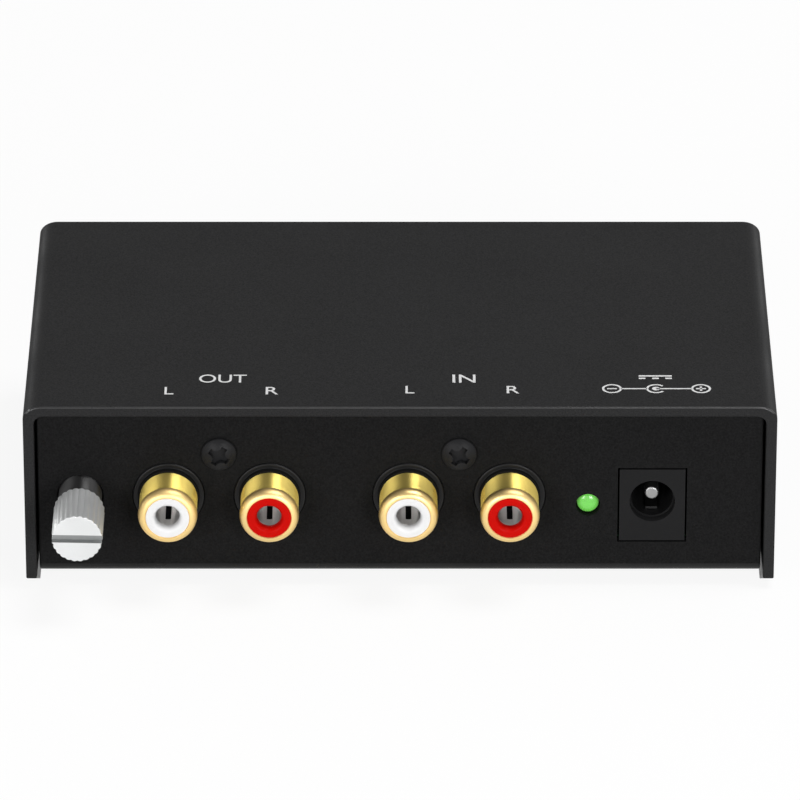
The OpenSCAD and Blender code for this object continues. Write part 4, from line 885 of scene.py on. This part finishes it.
def buildJackScrews():
    s = jackScrew
    r, shank, (tipIn, tipAlong) = s["head"] / 2, s["shank"] / 2, s["tip"]
    rise = s["height"] - s["height"] * s["side"]
    ball = (s["head"] ** 2 / 4 + rise ** 2) / (2 * rise)
    spread = math.degrees(math.asin(r / ball))
    section = [
        (0, -s["length"]), (shank - tipIn, -s["length"]), (shank, -s["length"] + tipAlong), (shank, 0),
        (r - s["rim"], 0), (r, s["rim"]), *arc(0, s["height"] - ball, ball, ball, 90 - spread, 90, 14)]
    middle = (jackXs[0] + jackXs[1]) / 2
    obj = turnPiece("jackScrews", "black_steel", crossScrews, section, {
        "Turns": 96, **recessSizes(s), "Recess Angle": math.radians(-s["angle"]), "Head Height": s["height"] * mm,
        **placing((middle, spots["panelY"], spots["screwZ"]), row=(spots["pairSpacing"], 0, 0), rows=2)})
    softenEdges(obj, 0.07, 48)
    finishPiece(obj, "jackScrews", "case", "black_steel", ["jack_screws"])


def buildCoverScrews():
    s = coverScrew
    sink, (rimIn, rimAlong), (tipIn, tipAlong) = cover["screwSink"], s["rim"], s["tip"]
    r, shank, end = s["head"] / 2, s["shank"] / 2, -sink - s["length"]
    section = [
        (0, end), (shank - tipIn, end), (shank, end + tipAlong), (shank, -sink - s["cone"]),
        (r, -sink - rimAlong), (r - rimIn, -sink), (0, -sink)]
    obj = turnPiece("coverScrews", "black_steel", crossScrews, section, {
        "Turns": 72, **recessSizes(s), "Recess Angle": s["turn"], "Head Height": -sink * mm,
        "Facing": (0.0, -math.pi / 2, 0.0), **sideScrewRows})
    softenEdges(obj, 0.05, 60)
    finishPiece(obj, "coverScrews", "case", "black_steel", ["cover_screws"])


foot = {"radius": 4.5, "height": 2.0, "round": 0.6, "flat": 2.2, "edge": (0.1, 0.15),
        "x": 38.0, "y": -12.0, "step": 36.0}


def buildFeet():
    r, h, curve, (edge, topEdge) = foot["radius"], foot["height"], foot["round"], foot["edge"]
    section = [
        (0, 0), (foot["flat"], 0), *arc(r - curve, curve, curve, curve, 270, 360, 8),
        (r - edge, h - edge), (r - topEdge, h), (0, h)]
    obj = turnPiece("rubberFeet", "foot_rubber", turnedRow, section, {
        "Turns": 72, "Facing": (math.pi, 0.0, 0.0),
        **placing((-foot["x"], foot["y"], 0), (2 * foot["x"], 0, 0), 2, (0, foot["step"], 0), 2)})
    finishPiece(obj, "rubberFeet", "case", "foot_rubber", ["rubber_feet"], sharp=40)


buildJackScrews()
buildCoverScrews()
buildFeet()
print("screws and feet ready")


# level control

knob = {
    "teeth": 24, "diameter": 7.0, "toothDepth": 0.14, "neck": 4.3, "length": 8.6,
    "slotWidth": 1.17, "slotDepth": 1.0, "slotAngle": -1.1, "rim": 0.12, "bore": 6.0, "end": 2.0,
}
shaft = {
    "radius": 3.0, "core": 1.7, "coreEdge": 0.2, "edge": 0.1,
    "shoulder": -3.5, "loop": 0.6,  # a shoulder behind the panel's face, and an edge loop in front of it
}


def buildKnob():
    k = knob
    obj = meshObject("levelKnob", [(0, 0, 0)])
    runTree(obj, knurledKnob, {
        "Teeth": k["teeth"], "Radius": k["diameter"] / 2 * mm, "Tooth Depth": k["toothDepth"] * mm,
        "Length": k["length"] * mm, "Rim": k["rim"] * mm, "Slot Width": k["slotWidth"] * mm,
        "Slot Depth": k["slotDepth"] * mm, "Slot Angle": math.radians(k["slotAngle"]),
        "Bore Radius": k["bore"] / 2 * mm, "Bore Depth": (k["length"] - k["end"]) * mm,
        "Back Place": (spots["knobX"] * mm, (spots["panelY"] - k["neck"]) * mm, spots["knobZ"] * mm),
        "Material": finishes["knob_plate"]})
    softenEdges(obj, 0.05, 84)
    finishPiece(obj, "levelKnob", "knob", "knob_plate", ["level_knob"])
    # painted shade: the slot's floor and walls take a darker, duller copy of the plate, where the slot's shade falls
    front, rootLine = spots["panelY"] - k["neck"] - k["length"], k["diameter"] / 2 - 0.8 * k["toothDepth"]
    refinish(obj, "knob_slot_shade", lambda at, way: front + 0.1 < at.y < front + k["slotDepth"] + 0.05
             and abs(at.z - spots["knobZ"]) < k["slotWidth"] / 2 + 0.1
             and math.hypot(at.x - spots["knobX"], at.z - spots["knobZ"]) < rootLine - 0.05)


def buildShaft():
    # the plain shaft, its shoulder and the thin core behind it
    low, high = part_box("pot_shaft")
    r, core, shoulder = shaft["radius"], shaft["core"], shaft["shoulder"]
    coreEnd = (spots["panelY"] * mm - high.y) / mm
    front = knob["neck"] + knob["length"] - knob["end"]
    section = [
        (0, coreEnd), (core - shaft["coreEdge"], coreEnd), (core, coreEnd + shaft["coreEdge"]), (core, shoulder),
        (r - shaft["edge"], shoulder), (r, shoulder + shaft["edge"]), (r, shaft["loop"]), (r, front), (0, front)]
    obj = turnPiece("controlShaft", "shaft_black", turnedRow, section, {
        "Turns": 96, **placing((spots["knobX"], spots["panelY"], spots["knobZ"]))})
    finishPiece(obj, "controlShaft", "knob", "shaft_black", ["pot_shaft"], sharp=40)


buildKnob()
buildShaft()
print("level control ready")


# lamp and power socket

lamp = {"radius": 1.5, "flange": 1.9, "flangeLength": 0.8, "length": 5.2, "set": 0.35, "dome": 0.7}


def buildLens():
    r, flange, back = lamp["radius"], lamp["flange"], -lamp["set"] - lamp["length"]
    flangeEnd = back + lamp["flangeLength"]
    section = [
        (0, back), (flange, back), (flange, flangeEnd), (r, flangeEnd),
        *arc(0, -lamp["set"] - lamp["dome"], r, lamp["dome"], 0, 90, 14)]
    obj = turnPiece("lampLens", "green_lens", turnedRow, section, {
        "Turns": 72, **placing((spots["lampX"], spots["panelY"], spots["lampZ"]))})
    finishPiece(obj, "lampLens", "case", "green_lens", ["lamp_lens"], sharp=40)


buildLens()
softCopy("dc_socket_body", "powerSocketBody", "black_moulding", edge=0.12)
# the pin takes a darker copy of the contact metal: painted shade deep in the socket
softCopy("dc_centre_pin", "powerSocketPin", "contact_metal", sharp=50, look="shaded_pin_metal")
print("lamp and power socket ready")


# printed marks on the top

marks = {
    "lift": 0.02,
    "bolder": 0.004,  # how far the letters' outlines are pushed out, in letter units
    # text: (word, middle X, middle Y behind the front edge, width, height)
    "words": [
        ("OUT", -24.55, 8.85, 6.6, 2.5),
        ("IN", 8.87, 8.85, 3.2, 2.5),
        ("L", -31.92, 5.1, 1.25, 2.3),
        ("R", -17.69, 5.1, 1.75, 2.3),
        ("L", 1.38, 5.41, 1.25, 2.3),
        ("R", 15.62, 5.41, 1.75, 2.3),
    ],
}
polarity = {
    # a centre-positive symbol under a direct-current symbol
    "y": 5.72, "left": 29.31, "middle": 35.4, "right": 41.62, "ring": 1.22, "dot": 0.55, "line": 0.32,
    "bar": 0.55,  # half length of the plus and minus bars, as a share of the ring
    "gap": (40, 320),  # where the open ring starts and ends, degrees
    "directY": 9.3, "directWidth": 4.6, "directGap": 0.75, "directLine": 1.3,  # the last as a share of the line
}


def printOnTop(name, meshes):
    solid = bmesh.new()
    for mesh in meshes:
        solid.from_mesh(mesh)
    mesh = bpy.data.meshes.new(name)
    solid.to_mesh(mesh)
    solid.free()
    obj = linkObject(name, mesh)
    mesh.materials.append(finishes["print_white"])
    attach(obj, "case")


def wordMesh(word, x, y, width, height):
    text = bpy.data.curves.new("word", "FONT")
    text.body = word
    text.offset = marks["bolder"]
    holder = linkObject("word", text)
    mesh = bpy.data.meshes.new_from_object(holder.evaluated_get(bpy.context.evaluated_depsgraph_get()))
    bpy.data.objects.remove(holder)
    xs, ys = [v.co.x for v in mesh.vertices], [v.co.y for v in mesh.vertices]
    middle = Vector(((min(xs) + max(xs)) / 2, (min(ys) + max(ys)) / 2, 0))
    fit = Matrix.Diagonal((width * mm / (max(xs) - min(xs)), height * mm / (max(ys) - min(ys)), 1, 1))
    place = Matrix.Translation((x * mm, (cover["front"] + y) * mm, (cover["top"] + marks["lift"]) * mm))
    mesh.transform(place @ fit @ Matrix.Translation(-middle))
    return mesh


def stripMesh(points, width, closed=False):
    # a flat strip of even width along points, in the top's plane
    mesh = bpy.data.meshes.new("strip")
    count = len(points)
    corners = []
    for i, (x, y) in enumerate(points):
        before = points[i - 1] if i > 0 or closed else points[i]
        after = points[(i + 1) % count] if i < count - 1 or closed else points[i]
        dx, dy = after[0] - before[0], after[1] - before[1]
        length = math.hypot(dx, dy)
        nx, ny = -dy / length * width / 2, dx / length * width / 2
        corners += [(x - nx, y - ny), (x + nx, y + ny)]
    faces = [(2 * i, 2 * i + 2, 2 * i + 3, 2 * i + 1) for i in range(count - 1)]
    if closed:
        faces.append((2 * count - 2, 0, 1, 2 * count - 1))
    height = (cover["top"] + marks["lift"]) * mm
    mesh.from_pydata([(x * mm, (cover["front"] + y) * mm, height) for x, y in corners], [], faces)
    return mesh


def polarityMeshes():
    s = polarity
    y, ring, line, left, middle, right = [s[key] for key in ("y", "ring", "line", "left", "middle", "right")]
    bar = ring * s["bar"]

    def ringMesh(x, r, width):
        return stripMesh(arc(x, y, r, r, 0, 360, 40)[:-1], width, True)

    def barMesh(x0, x1, at=y, width=line):
        return stripMesh([(x0, at), (x1, at)], width)

    made = [ringMesh(left, ring, line), ringMesh(right, ring, line),
            stripMesh(arc(middle, y, ring, ring, *s["gap"], 40), line),
            ringMesh(middle, s["dot"] / 2, s["dot"] * 0.98),
            barMesh(left + ring, middle - ring), barMesh(middle, right - ring),
            barMesh(left - bar, left + bar), barMesh(right - bar, right + bar),
            stripMesh([(right, y - bar), (right, y + bar)], line)]
    x0, x1 = middle - s["directWidth"] / 2, middle + s["directWidth"] / 2
    low, high = s["directY"] - s["directGap"] / 2, s["directY"] + s["directGap"] / 2
    thick, dash = line * s["directLine"], s["directWidth"] / 5
    made.append(barMesh(x0, x1, high, thick))
    return made + [barMesh(x0 + 2 * i * dash, x0 + (2 * i + 1) * dash, low, thick) for i in range(3)]


printOnTop("jackLabels", [wordMesh(*word) for word in marks["words"]])
printOnTop("polarityMark", polarityMeshes())
print("printed marks ready")


# the pieces that keep their CAD shape

keptFinish = {
    "circuit_board": "board_laminate", "board_spacers": "spacer_brass", "board_screws": "plain_steel",
    # the socket's spring strip is kept dark: partly blackened steel, partly painted shade in the bore
    "dc_sleeve_spring": "blackened_spring_and_shade", "dc_switch_tag": "contact_metal", "lamp_leads": "tinned_wire",
    "lamp_holder": "black_moulding", "pot_case": "brown_moulding", "pot_frame": "black_steel",
    "pot_tracks": "track_carbon", "pot_terminals": "tinned_wire", "pot_wipers": "wiper_brass",
    "amplifier_chips": "black_moulding", "chip_legs": "tinned_wire", "signal_capacitors": "blue_sleeve",
    "supply_capacitors": "black_sleeve", "film_capacitors": "red_dip", "resistors": "resistor_lacquer",
    "supply_diode": "black_moulding", "supply_regulator": "black_moulding", "component_leads": "tinned_wire",
}
for node, look in keptFinish.items():
    frame["nodes"][node].data.materials.clear()
    frame["nodes"][node].data.materials.append(finishes[look])
print("kept pieces painted:", len(keptFinish))
